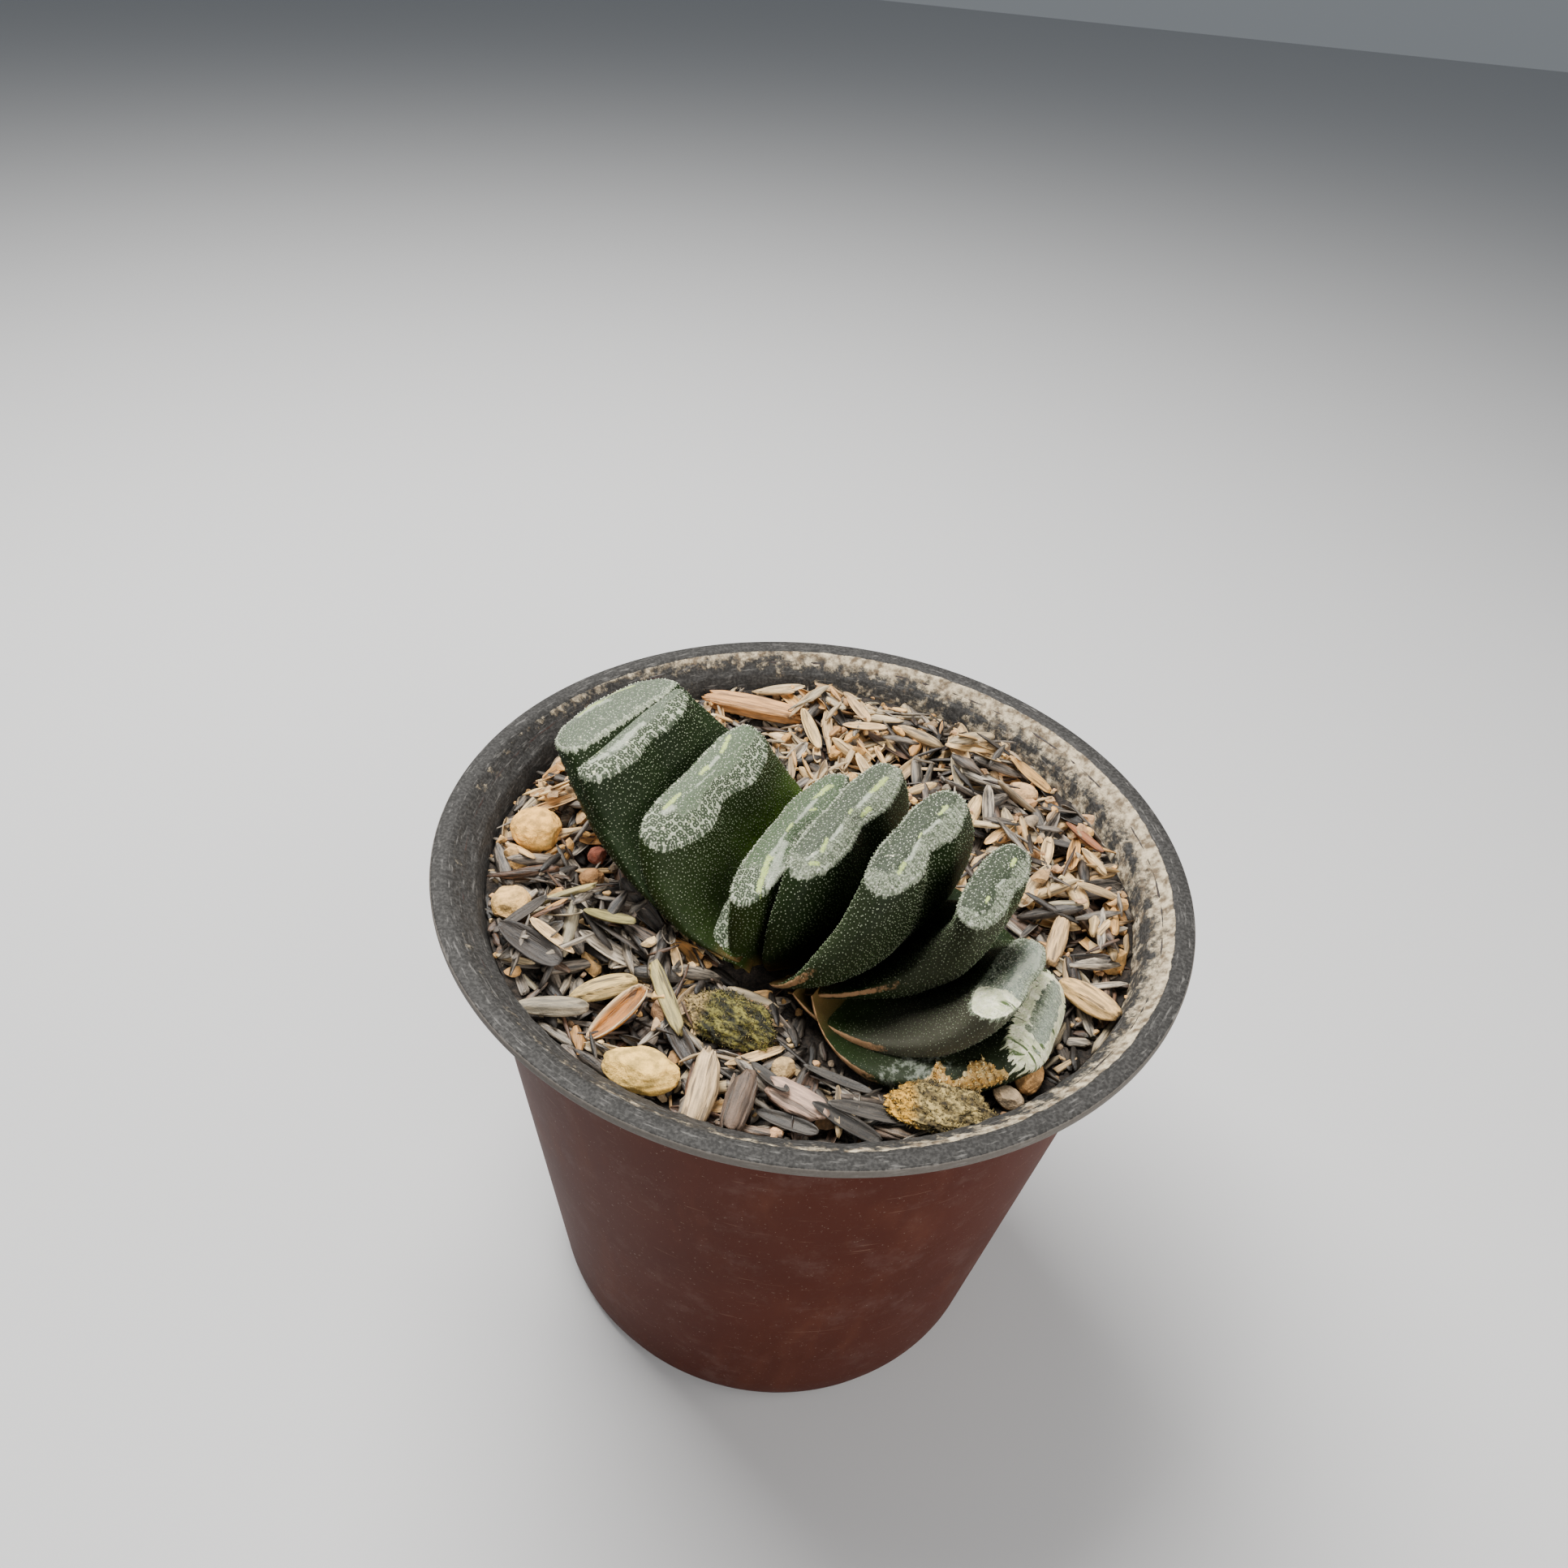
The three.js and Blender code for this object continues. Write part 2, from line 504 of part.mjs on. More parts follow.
// A husk: half of a rice grain's shell, a thin boat that tapers to both ends.
function huskSolid(husk, grow = 0) {
  const stations = 7;
  const half = 4;
  const [length, width] = husk.size;
  const rings = [];
  for (let station = 0; station < stations; station += 1) {
    const t = (station + 0.5) / stations;
    const breadth = Math.sin(Math.PI * t) ** 0.7;
    const ring = [];
    for (let step = 0; step <= half; step += 1) {
      const angle = Math.PI * (step / half);
      ring.push(new THREE.Vector3((t - 0.5) * (length + 2 * grow),
        Math.cos(angle) * (breadth * width / 2 + grow),
        -Math.sin(angle) * (breadth * width * HUSK_DEPTH + grow) - 0.1 * grow));
    }
    for (let step = half; step >= 0; step -= 1) {
      const angle = Math.PI * (step / half);
      const inner = Math.max(0.1, breadth * width / 2 - HUSK_SHELL);
      ring.push(new THREE.Vector3((t - 0.5) * (length + 2 * grow), Math.cos(angle) * inner,
        -Math.sin(angle) * Math.max(0.05, breadth * width * HUSK_DEPTH - HUSK_SHELL) + 0.25 + grow));
    }
    rings.push(ring);
  }
  const end = (length + 2 * grow) / 2;
  const boat = skin(rings, new THREE.Vector3(end, 0, 0), new THREE.Vector3(-end, 0, 0));
  return solidOf(laid(boat, husk));
}

// A chip: a splinter with blunt ends.
function chipSolid(chip, grow = 0) {
  const [length, width, height] = chip.size;
  const sections = [[-0.5, 0.45], [-0.3, 0.9], [0.05, 1], [0.35, 0.8], [0.5, 0.3]];
  const corner = (along, share, index, side) => {
    const angle = (side / CHIP_SIDES) * 2 * Math.PI + 0.3;
    return new THREE.Vector3(along * (length + 2 * grow),
      Math.cos(angle) * (width / 2 * share + grow) + 0.08 * width * Math.sin(index * 2.1),
      Math.sin(angle) * (height / 2 * share + grow));
  };
  const sides = Array.from({ length: CHIP_SIDES }, (unused, side) => side);
  const rings = sections.map(
    ([along, share], index) => sides.map((side) => corner(along, share, index, side)));
  const end = (length + 2 * grow) / 2;
  return solidOf(laid(skin(rings, new THREE.Vector3(end, 0, 0), new THREE.Vector3(-end, 0, 0)), chip));
}

function laid(geometry, piece) {
  const [x, y] = piece.at;
  return geometry.rotateX(radians(piece.roll ?? 0)).rotateY(-radians(piece.pitch))
    .rotateZ(radians(piece.turn)).translate(x, y, soilHeight(x, y) + piece.lift);
}

// A clump of moss or a flake of bark: a low ball with a lumpy surface.
function clumpSolid(clump, grow = 0) {
  const ball = mergeVertices(bare(new THREE.IcosahedronGeometry(1, 2)), 1e-4);
  const place = ball.attributes.position;
  const point = new THREE.Vector3();
  for (let i = 0; i < place.count; i += 1) {
    point.fromBufferAttribute(place, i);
    const lump = Math.sin(5 * point.x + 1) * Math.cos(6 * point.y)
      + 0.7 * Math.sin(9 * point.x - 7 * point.y);
    point.multiplyScalar(1 + clump.rough * 0.42 * lump);
    place.setXYZ(i, point.x * (clump.size[0] / 2 + grow), point.y * (clump.size[1] / 2 + grow),
      point.z * (clump.size[2] / 2 + grow));
  }
  const [x, y] = clump.at;
  ball.rotateZ(radians(clump.turn)).translate(x, y, soilHeight(x, y) + clump.lift);
  return solidOf(ball);
}

const finish = (color, roughness) => new THREE.MeshStandardMaterial({ color, roughness, metalness: 0 });

const potFinish = () => finish(0x3a2b29, 0.55);
const soilFinish = () => finish(0x3b332c, 0.95);
const rootFinish = () => finish(0xb59a72, 0.85);
const leafFinish = () => finish(0x33462f, 0.5);
const huskFinish = () => finish(0xb48f5f, 0.8);
const chipFinish = () => finish(0x8f7a5e, 0.85);
const mossFinish = () => finish(0x7a7a41, 0.95);
const barkFinish = () => finish(0x9a8a52, 0.9);

const group = new THREE.Group();

function place(name, solid, material) {
  const mesh = new THREE.Mesh(geometryOf(solid), material);
  mesh.name = name;
  group.add(mesh);
}

// Each piece is cut by the room that the pieces before it need, so that neighbours stay apart.
const inside = potRoom();
const rooms = [];
function fit(name, piece, room, material) {
  let solid = piece.intersect(inside);
  for (const taken of rooms) {
    solid = solid.subtract(taken);
  }
  place(name, largestOf(solid), material);
  rooms.push(room);
}

place('pot', potSolid(), potFinish());
fit('stem_and_roots', rootSolid(), rootSolid(CLEARANCE), rootFinish());
for (const leaf of LEAVES) {
  fit(leaf.name, leafSolid(leaf), leafSolid(leaf, CLEARANCE), leafFinish());
}
for (const stone of STONES) {
  fit(stone.name, stoneSolid(stone), stoneSolid(stone, CLEARANCE), finish(stone.colour, 0.9));
}
for (const clump of [[MOSS, mossFinish()], [BARK, barkFinish()]]) {
  fit(clump[0].name, clumpSolid(clump[0]), clumpSolid(clump[0], CLEARANCE), clump[1]);
}
for (const husk of HUSKS) {
  fit(husk.name, huskSolid(husk), huskSolid(husk, CLEARANCE), huskFinish());
}
for (const chip of CHIPS) {
  fit(chip.name, chipSolid(chip), chipSolid(chip, CLEARANCE), chipFinish());
}
rooms.unshift(footHollow());
const soil = soilBody().add(soilGrains());
fit('soil', soil, soil, soilFinish());

export default group;
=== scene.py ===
"""The looks of a horse's teeth plant, Haworthia truncata, in its nursery pot.

Lengths are millimetres until a mesh is made, where MM turns them into metres.
"""

import math
from types import SimpleNamespace

import bpy
import numpy as np
from mathutils import Matrix, Vector


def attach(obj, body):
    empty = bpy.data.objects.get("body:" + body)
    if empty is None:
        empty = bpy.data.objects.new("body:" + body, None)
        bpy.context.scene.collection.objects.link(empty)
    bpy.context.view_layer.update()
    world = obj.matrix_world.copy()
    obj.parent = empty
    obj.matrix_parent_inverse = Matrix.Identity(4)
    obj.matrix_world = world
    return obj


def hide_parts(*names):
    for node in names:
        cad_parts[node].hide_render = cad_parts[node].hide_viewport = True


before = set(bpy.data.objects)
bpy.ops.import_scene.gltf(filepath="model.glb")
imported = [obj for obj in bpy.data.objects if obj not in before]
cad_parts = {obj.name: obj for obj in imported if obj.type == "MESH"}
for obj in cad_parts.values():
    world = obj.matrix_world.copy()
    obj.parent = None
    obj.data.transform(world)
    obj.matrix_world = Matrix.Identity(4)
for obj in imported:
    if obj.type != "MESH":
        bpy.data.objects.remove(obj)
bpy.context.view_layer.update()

MM = 0.001
SEED = 11

# Driving dimensions, the same as the part's own.
POT_HEIGHT = 82.0
RIM_RADIUS = 50.0
RIM_INNER_RADIUS = 47.8
RIM_THICKNESS = 1.4
WALL_TOP_RADIUS = 46.0
FOOT_RADIUS = 35.0
WALL_THICKNESS = 1.1
FLOOR_THICKNESS = 1.6
STEP_DEPTH = 6.0
STEP_WIDTH = 0.5
FOOT_BEVEL = 1.8
EDGE_ROUND = 0.4
LIP_DEPTH = 3.0
DRAIN_HOLES = 6
DRAIN_HOLE_RADIUS = 3.5
DRAIN_CIRCLE_RADIUS = 23.0
CLEARANCE = 0.3
SOIL_LEVEL = 74.6
SOIL_RISE = 0.9
SOIL_BANK = 3.6
FAN_TURN = math.radians(-29)
STEM_ALONG = 2.5
STEM_ACROSS = -4.5
LEAF_FOOT_HEIGHT = 73.0
WINDOW_CROWN = 0.9
ROUND_ENDS = 0.8
ROUND_FACES = 0.75
THIN_MARGIN = 0.55
WRAP_POWER = 2.2
WAIST_SPREAD = 0.26
NOTCH_LEAN = 0.7

# The camera stands where the photograph's did: its place, its tilt below level, and its roll.
PHOTO_SIDE = 1932
PHOTO_FOCAL_PIXELS = 1550
CAMERA_PLACE = (-5.2, -125.7, 193.3)
CAMERA_TILT = math.radians(38.9)
CAMERA_ROLL = math.radians(6.0)
SENSOR = 36.0

ALONG = np.array([math.cos(FAN_TURN), math.sin(FAN_TURN), 0.0])
ACROSS = np.array([-math.sin(FAN_TURN), math.cos(FAN_TURN), 0.0])
UP = np.array([0.0, 0.0, 1.0])

# How strong each marking is on a leaf that doesn't say. frost: how far across and along the window
# its pale border of dense warts starts, and edge: how wide that border is round the rest. lime and
# pale: strokes on the window as (x, inner, x, inner, breadth). net: dark cells in the frosted part.
# cork: cream scar at the near end. rind: how far in a cream border reaches. dry: papery margin.
# scab: crust on the near edge. silver: pale scratches beside it. dusk: brown bloom. fresh: young
# green. glow: light through it. gloom: a darker window. The lighter window is painted light on
# its middle and inner side, where the lamps leave it in shade. dots: more warts on it. wart and
# spacing: size and distance of the warts. ragged: how long its border's teeth are.
PLAIN_LOOK = dict(lime=[], pale=[], net=0.25, edge=0.45, spacing=0.56, wart=1.0, dots=0.0,
                  gloom=0.0, bright=0.0, ragged=0.0, fresh=0.0, glow=0.0, dusk=0.0, cork=0.0,
                  rind=0.0, dry=0.0, scab=0.0, silver=0.0)


def leaf(name, rank, out, across, turn, lean, length, half_width, belly, half_thick, wrap, waist,
         cut, skew, **look):
    """One leaf: its shape, in the part's own words, and its looks."""
    return SimpleNamespace(**{**PLAIN_LOOK, **look}, name=name, rank=rank, out=out, across=across,
                           turn=turn, lean=lean, length=length, half_width=half_width, belly=belly,
                           half_thick=half_thick, wrap=wrap, waist=waist, cut=cut, skew=skew)


LEAVES = [
    leaf("leaf_young", -1, 3.8, -3.6, 2.8, (30, 18), 7.2, (10.6, 12.4), 0.6, (1.4, 2.5), (3.4, 0.4),
         0, 30, 6.5,
         frost=(-0.3, 0.9), fresh=1.0, net=0.7, wart=1.2,
         pale=[(0.1, 0, 0.6, 0.2, 0.4)]),
    leaf("leaf_right_1", 1, 0.2, -0.9, 4, (-19, -14), 15, (12, 14), 1, (1.6, 3.3), (3.6, -0.8),
         0.25, 0, 3,
         frost=(1.3, -0.62), net=0.8, fresh=0.45, glow=0.8, gloom=0.35,
         lime=[(0.74, 0.26, 0.5, 0.12, 0.55), (0.32, 0.42, 0.36, 0.55, 0.3),
               (0.06, 0.2, -0.04, 0.28, 0.5), (-0.44, 0.24, -0.62, 0.36, 0.55),
               (-0.62, 0.36, -0.84, 0.58, 0.45)],
         pale=[(0.5, 0.2, 0.1, 0.34, 0.45), (-0.08, 0.25, -0.44, 0.26, 0.4),
               (-0.2, 0.5, -0.7, 0.8, 0.9)]),
    leaf("leaf_left_1", -1, 4, -1.6, 2, (60, 10), 21, (13.2, 13), 2.6, (1.8, 3.6), (4, -0.8), 0.25,
         28, 4,
         frost=(0.22, -0.56), net=1.0, fresh=0.3, glow=1.0,
         lime=[(0.68, -0.62, 0.42, -0.44, 0.4), (0.02, -0.5, 0.12, -0.46, 0.5),
               (-0.35, -0.46, -0.62, -0.47, 0.35)],
         pale=[(-0.38, -0.42, -0.24, -0.23, 0.16), (-0.24, -0.23, -0.05, -0.2, 0.14),
               (-0.05, -0.2, 0.15, -0.13, 0.14), (-0.66, -0.36, -0.56, -0.28, 0.6),
               (0.34, -0.4, 0.12, -0.4, 0.3)]),
    leaf("leaf_right_2", 1, 4.5, 0.7, -2, (5, -13), 19.7, (12, 11.5), 3.3, (1.6, 3.2), (3.5, 0.2),
         0.2, -15, 6,
         frost=(0.2, -0.82), net=0.3, gloom=0.6,
         lime=[(0.74, 0.3, 0.42, 0.22, 0.42), (0.04, 0.15, 0, 0.2, 0.42),
               (0.1, 0.8, 0.22, 0.7, 0.4), (-0.48, 0.16, -0.64, 0.32, 0.4),
               (-0.8, 0.5, -0.86, 0.3, 0.3)],
         pale=[(0.4, 0.25, 0.16, 0.3, 0.45), (-0.2, 0.32, -0.46, 0.3, 0.4),
               (-0.7, 0.2, -0.84, 0.1, 0.3)]),
    leaf("leaf_left_2", -1, 5.7, -2, 2, (64, 28), 30, (14.2, 11.2), 1.4, (1.8, 2.6), (4.6, -0.8),
         0.2, 28, 3,
         frost=(0.3, -0.62), net=1.0,
         lime=[(-0.34, -0.75, -0.6, -0.58, 0.55), (0.82, -0.6, 0.5, -0.68, 0.5)],
         pale=[(-0.5, 0.1, 0.1, 0.2, 0.7), (-0.8, -0.2, -0.6, 0.1, 0.5)]),
    leaf("leaf_right_3", 1, 7.2, -1.8, -7, (43, -11), 26, (13.2, 8.5), 3.6, (1.6, 3.3), (3.5, 0.1),
         0.22, -13, 13,
         frost=(0.26, -0.76), net=0.2, gloom=0.85, edge=0.3, spacing=0.5, dusk=0.15, dry=0.6,
         lime=[(0.68, 0.16, 0.5, 0.14, 0.32), (0.03, 0.18, -0.04, 0.24, 0.26),
               (-0.5, 0.32, -0.66, 0.42, 0.32)],
         pale=[(0.4, 0.3, 0.1, 0.3, 0.35), (-0.05, 0.35, -0.4, 0.4, 0.4)]),
    leaf("leaf_left_3", -1, 7.3, -2.5, -2.4, (61, 41), 33, (13.4, 10.6), 2.4, (1.8, 3.6), (5, 1.5),
         0, 25, 0,
         frost=(1.3, -0.95),
         lime=[(-0.3, -0.8, 0.06, -0.5, 0.7), (0.34, -0.6, 0.56, -0.36, 0.55),
               (0.1, -0.5, 0.34, -0.6, 0.3)],
         pale=[(-0.3, -0.6, 0.1, -0.3, 0.9)]),
    leaf("leaf_right_4", 1, 6.7, -1.8, 0, (80, -4), 31, (13.5, 7), -1.8, (1.6, 2.8), (3.5, 0), 0.1,
         -10, 7,
         frost=(0.42, -0.8), net=0.15, gloom=0.9, edge=0.3, wart=0.9, spacing=0.5, dusk=0.4,
         dry=0.6,
         lime=[(0.6, 0.2, 0.42, 0.26, 0.3), (-0.44, 0.2, -0.56, 0.22, 0.3)],
         pale=[(-0.12, 0.3, 0.06, 0.4, 0.3), (-0.75, 0.32, -0.75, 0.3, 0.28),
               (-0.99, 0.08, -0.99, 0.06, 0.3), (-0.86, 0.18, -0.86, 0.16, 0.2)]),
    leaf("leaf_right_5", 1, 5.5, -4, 0, (110, 17), 30, (13, 9.3), 1.5, (1.6, 2.7), (6.3, 0.3), 0.12,
         28, -12,
         frost=(-0.2, -0.1), net=0.2, gloom=0.1, bright=0.35, dots=1.6, edge=0.4, cork=1.0, dry=1.0,
         fresh=0.1, dusk=1.0, wart=0.8, ragged=0.3,
         pale=[(0.0, 0.2, 0.6, 0.35, 0.7), (-0.3, 0.1, 0.2, 0.1, 0.7), (0.3, 0.7, 0.8, 0.5, 0.5)]),
    leaf("leaf_right_6", 1, 7.3, -3.5, 1, (110, 43), 29, (13, 8.6), 5.8, (1.6, 3.2), (7, 0.4), 0.05,
         13, -9,
         frost=(-0.4, 0.1), edge=0.6, rind=2.1, cork=0.85, dry=0.7, scab=1.0, dusk=0.2, wart=0.6,
         silver=1.0, gloom=0.2, bright=0.3, ragged=1.0),
]

STONES = {
    "stone_front_left": ((-17.9, -35.5), (9, 5.8, 4), -12, (0.93, 0.60, 0.16)),
    "stone_left_large": ((-38, 1.9), (6.6, 7.4, 4.6), 20, (0.93, 0.52, 0.13)),
    "stone_left_mid": ((-38.5, -11.7), (4.6, 5, 3.4), 10, (0.80, 0.50, 0.18)),
    "stone_front_mid": ((-1.8, -32.4), (2.9, 3.1, 2.4), 0, (0.56, 0.38, 0.18)),
    "stone_right_rust": ((26.8, -30.9), (3.2, 5.2, 3.2), -15, (0.55, 0.30, 0.11)),
    "stone_right_round": ((24.2, -33.9), (3.7, 2.5, 2.2), -35, (0.56, 0.42, 0.27)),
    "stone_left_red": ((-29.6, 0.5), (2.5, 2.5, 2), 0, (0.33, 0.10, 0.06)),
    "stone_left_orange": ((-29.4, -4.7), (3.3, 3.1, 2.4), 0, (0.55, 0.28, 0.11)),
    "stone_back_left": ((-29.6, 23.4), (5.5, 4, 3.2), 35, (0.78, 0.50, 0.24)),
    "stone_back_right": ((30.4, 21.7), (4.6, 3.6, 3), -20, (0.70, 0.44, 0.22)),
}
HUSKS = {
    "husk_open": ((-22, -28.1), (9.6, 3.4), 54, 1.6, 10, -14, (0.42, 0.16, 0.022)),
    "husk_tan": ((-24.4, -23.8), (8.6, 3.4), 22, 1.0, 5, 175, (0.62, 0.44, 0.17)),
    "husk_grey": ((-29.8, -28.2), (9, 2.8), 6, 0.9, 0, 180, (0.29, 0.25, 0.18)),
    "husk_right": ((35.3, -18.1), (9.2, 4), -46, 1.6, 8, 180, (0.78, 0.50, 0.21)),
}
CHIPS = {
    "chip_upright": ((-11.1, -38), (9, 3.2, 2), 82, 1.8, 20, (0.72, 0.52, 0.30)),
    "chip_dark": ((-6.4, -39.2), (7, 3, 2.2), 76, 1.6, 14, (0.13, 0.085, 0.06)),
    "chip_back": ((-10.8, 35.3), (15, 4, 2.4), -10, 0.6, 0, (0.66, 0.34, 0.13)),
    "chip_right": ((32.6, -7.4), (8, 2.4, 2), 74, 0.8, 8, (0.66, 0.44, 0.22)),
}
MOSS = ((-8.6, -25.6), (12, 7, 4), -20, 0.6)
BARK = ((16.6, -36.5), (12.4, 6.4, 2.8), -6, 1.0)
# Larger loose pieces that lie on the others: their kind, place, size, turn and tint. One that finds
# no room there, under a leaf, on a large piece or by the wall, is left out.
LARGE_PIECES = [
    ("chip", (0.1, -38), (7.3, 3.4, 1.0), -30, (0.50, 0.33, 0.25)),
    ("chip", (5.4, -31.2), (4.3, 1.8, 1.5), -95, (0.56, 0.22, 0.06)),
    ("husk", (-3.2, -29), (10, 2.3, 1.3), -45, (0.07, 0.05, 0.04)),
    ("chip", (-16.4, -25.6), (10, 2.0, 0.8), -63, (0.42, 0.35, 0.14)),
    ("chip", (-27.2, -23.8), (8, 1.1, 0.6), 62, (0.58, 0.50, 0.20)),
    ("chip", (-31.2, -12), (7.8, 1.2, 0.7), 14, (0.46, 0.38, 0.17)),
    ("husk", (-25.1, -15.2), (7, 2.8, 1.2), 12, (0.32, 0.28, 0.11)),
    ("husk", (-20.4, -29.6), (6.4, 1.7, 1.0), 28, (0.56, 0.38, 0.30)),
    ("husk", (-34, -20.5), (9.5, 3.2, 1.5), -25, (0.045, 0.038, 0.034)),
    ("husk", (-36, -16.5), (8, 2.2, 1.2), 40, (0.06, 0.05, 0.042)),
    ("husk", (8.2, -38.4), (10.5, 2.0, 1.2), 6, (0.075, 0.068, 0.062)),
    ("husk", (5.6, -40.4), (9.0, 1.9, 1.2), -16, (0.050, 0.045, 0.041)),
    ("husk", (9.8, -40.5), (8.0, 1.8, 1.1), 12, (0.085, 0.078, 0.070)),
    ("husk", (-1.0, -40.6), (8.0, 1.8, 1.1), -24, (0.060, 0.053, 0.047)),
    ("husk", (-3.4, -35.2), (7.5, 1.8, 1.1), -52, (0.055, 0.050, 0.045)),
    ("husk", (4.4, -34.6), (8.5, 1.7, 1.1), -14, (0.060, 0.055, 0.050)),
    ("shell", (22.6, -37), (10.5, 2.9, 1.6), 18, (0.72, 0.44, 0.18)),
    ("chip", (37.8, -26.4), (4.6, 1.2, 0.8), 56, (0.62, 0.60, 0.50)),
    ("husk", (31.3, -6.4), (6.2, 2.3, 1.3), -75, (0.74, 0.46, 0.17)),
    ("husk", (37.7, 10.6), (7.6, 2.2, 1.3), -55, (0.26, 0.09, 0.03)),
    ("husk", (36.6, -8.2), (5.2, 2.1, 1.2), -51, (0.72, 0.46, 0.20)),
    ("husk", (-2.1, 30.4), (8.4, 2.4, 1.4), -69, (0.70, 0.50, 0.24)),
    ("husk", (6.2, 30.2), (7.4, 2.1, 1.2), 17, (0.74, 0.50, 0.26)),
    ("husk", (5.1, 35.2), (7.6, 2.1, 1.2), -64, (0.66, 0.44, 0.22)),
]

# Tints of the loose pieces: any two of a row's are mixed.
CHAR = [(0.018, 0.015, 0.013), (0.040, 0.034, 0.030), (0.090, 0.077, 0.066), (0.15, 0.13, 0.11),
        (0.085, 0.045, 0.026), (0.28, 0.245, 0.20)]
STRAW = [(0.78, 0.46, 0.16), (0.84, 0.58, 0.28), (0.60, 0.31, 0.10), (0.50, 0.35, 0.18),
         (0.34, 0.26, 0.17), (0.66, 0.46, 0.24), (0.42, 0.37, 0.26), (0.78, 0.62, 0.38)]
HUSK_BRIM = (0.72, 0.52, 0.30)
CRUST = [(0.58, 0.32, 0.05), (0.76, 0.56, 0.20), (0.50, 0.26, 0.04), (0.82, 0.68, 0.36),
         (0.36, 0.24, 0.10)]
GRAVEL = [(0.84, 0.50, 0.18), (0.72, 0.40, 0.13), (0.58, 0.34, 0.18), (0.88, 0.64, 0.34),
          (0.46, 0.27, 0.12), (0.34, 0.28, 0.21)]
# The first moss tint, near black, is painted shade for the crevices between its fronds.
MOSS_TINTS = [(0.016, 0.017, 0.005), (0.18, 0.165, 0.035), (0.34, 0.27, 0.10)]
MOSS_END = (0.36, 0.26, 0.11)
BARK_TINTS = [(0.095, 0.070, 0.025), (0.40, 0.31, 0.12), (0.26, 0.20, 0.08)]
BARK_END = (0.66, 0.36, 0.04)


# Mesh making

def make_mesh(name, points, faces, material, smooth=True, values={}, colours={}, vectors={}):
    """A mesh object from millimetre points and triangles, with named values on its points."""
    points = np.asarray(points, float).reshape(-1, 3)
    faces = np.asarray(faces, np.int32).reshape(-1, 3)
    mesh = bpy.data.meshes.new(name)
    mesh.vertices.add(len(points))
    mesh.vertices.foreach_set("co", (points * MM).ravel())
    mesh.loops.add(3 * len(faces))
    mesh.loops.foreach_set("vertex_index", faces.ravel())
    mesh.polygons.add(len(faces))
    mesh.polygons.foreach_set("loop_start", np.arange(len(faces), dtype=np.int32) * 3)
    mesh.polygons.foreach_set("use_smooth", np.full(len(faces), smooth))
    mesh.update(calc_edges=True)
    for kind, field, tables in (("FLOAT", "value", values), ("FLOAT_COLOR", "color", colours),
                                ("FLOAT_VECTOR", "vector", vectors)):
        for key, data in tables.items():
            flat = np.asarray(data, np.float32).ravel()
            mesh.attributes.new(key, kind, "POINT").data.foreach_set(field, flat)
    mesh.validate()
    mesh.materials.append(material)
    return link_object(name, mesh)


def link_object(name, data):
    thing = bpy.data.objects.new(name, data)
    bpy.context.scene.collection.objects.link(thing)
    return thing


def seat(piece, node=None):
    """Ties a piece to the part's one body, and hides the node that it stands for."""
    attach(piece, "root")
    if node:
        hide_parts(node)


def ring_faces(rows, count):
    """Triangles of a tube: rows of count points each, joined round."""
    row = np.arange(rows - 1)[:, None] * count
    low = (row + np.arange(count)).ravel()
    side = (row + (np.arange(count) + 1) % count).ravel()
    return np.concatenate([np.stack([low, side, side + count], 1),
                           np.stack([low, side + count, low + count], 1)])


def circle(count):
    """The angles of even steps round a circle."""
    return np.arange(count) / count * 2 * math.pi


def tube_faces(rows, count):
    """Triangles of such a tube with both its ends closed by fans."""
    k = np.arange(1, count - 1)
    fan = np.stack([0 * k, k, k + 1], 1)
    return np.concatenate([ring_faces(rows, count), fan[:, [0, 2, 1]], fan + (rows - 1) * count])


def smooth(t):
    return t * t * (3 - 2 * t)


def step_between(low, high, value):
    return smooth(np.clip((value - low) / (high - low), 0, 1))


def blend(a, b, share):
    """From a to b, each a number or a colour, by a share for each point."""
    share = np.asarray(share)[..., None]
    return np.array(a) * (1 - share) + np.array(b) * share


def unit(way):
    return way / np.linalg.norm(way)


def hashed_waves(points, scale, seed, octaves=3):
    """Soft seeded noise between about -1 and 1, as a sum of turned waves."""
    random = np.random.default_rng(seed)
    total = np.zeros(len(points))
    weight = 1.0
    for _ in range(octaves):
        for _ in range(4):
            direction = unit(random.normal(size=3))
            phase = random.uniform(0, 2 * math.pi, 2)
            swirl = np.sin(points @ random.normal(size=3) * scale * 0.6 + phase[1])
            wave = np.sin(points @ direction * scale * 2 + phase[0] + 1.4 * swirl)
            total += weight * wave / 4
        weight *= 0.55
        scale *= 2.1
    return total


# Leaves

LEAF_ROWS = 46
LEAF_COUNT = 180
WINDOW_ROWS = 16
EDGE_ROWS = 4
EDGE_FILLET = 0.35
# The window is drawn towards a line along its middle that reaches this share of its half width.
MIDDLE_REACH = 0.86
WART_RADIUS = 0.13
WART_HEIGHT = 0.14
WART_SIDES = 6
WART_SUNK = 0.03
# Millimetres of each leaf's foot without warts.
BARE_FOOT = 1.5
# How far up the near edge the crust of the lowest leaf reaches, along the leaf.
SCAB_REACH = ([0.68, 0.71, 0.73, 0.76, 0.79, 0.82, 0.86, 0.89, 0.92, 0.95, 0.98],
              [-0.5, 0.70, 0.75, 0.45, 0.28, 0.25, 0.60, 0.62, 0.48, 0.10, -0.5])


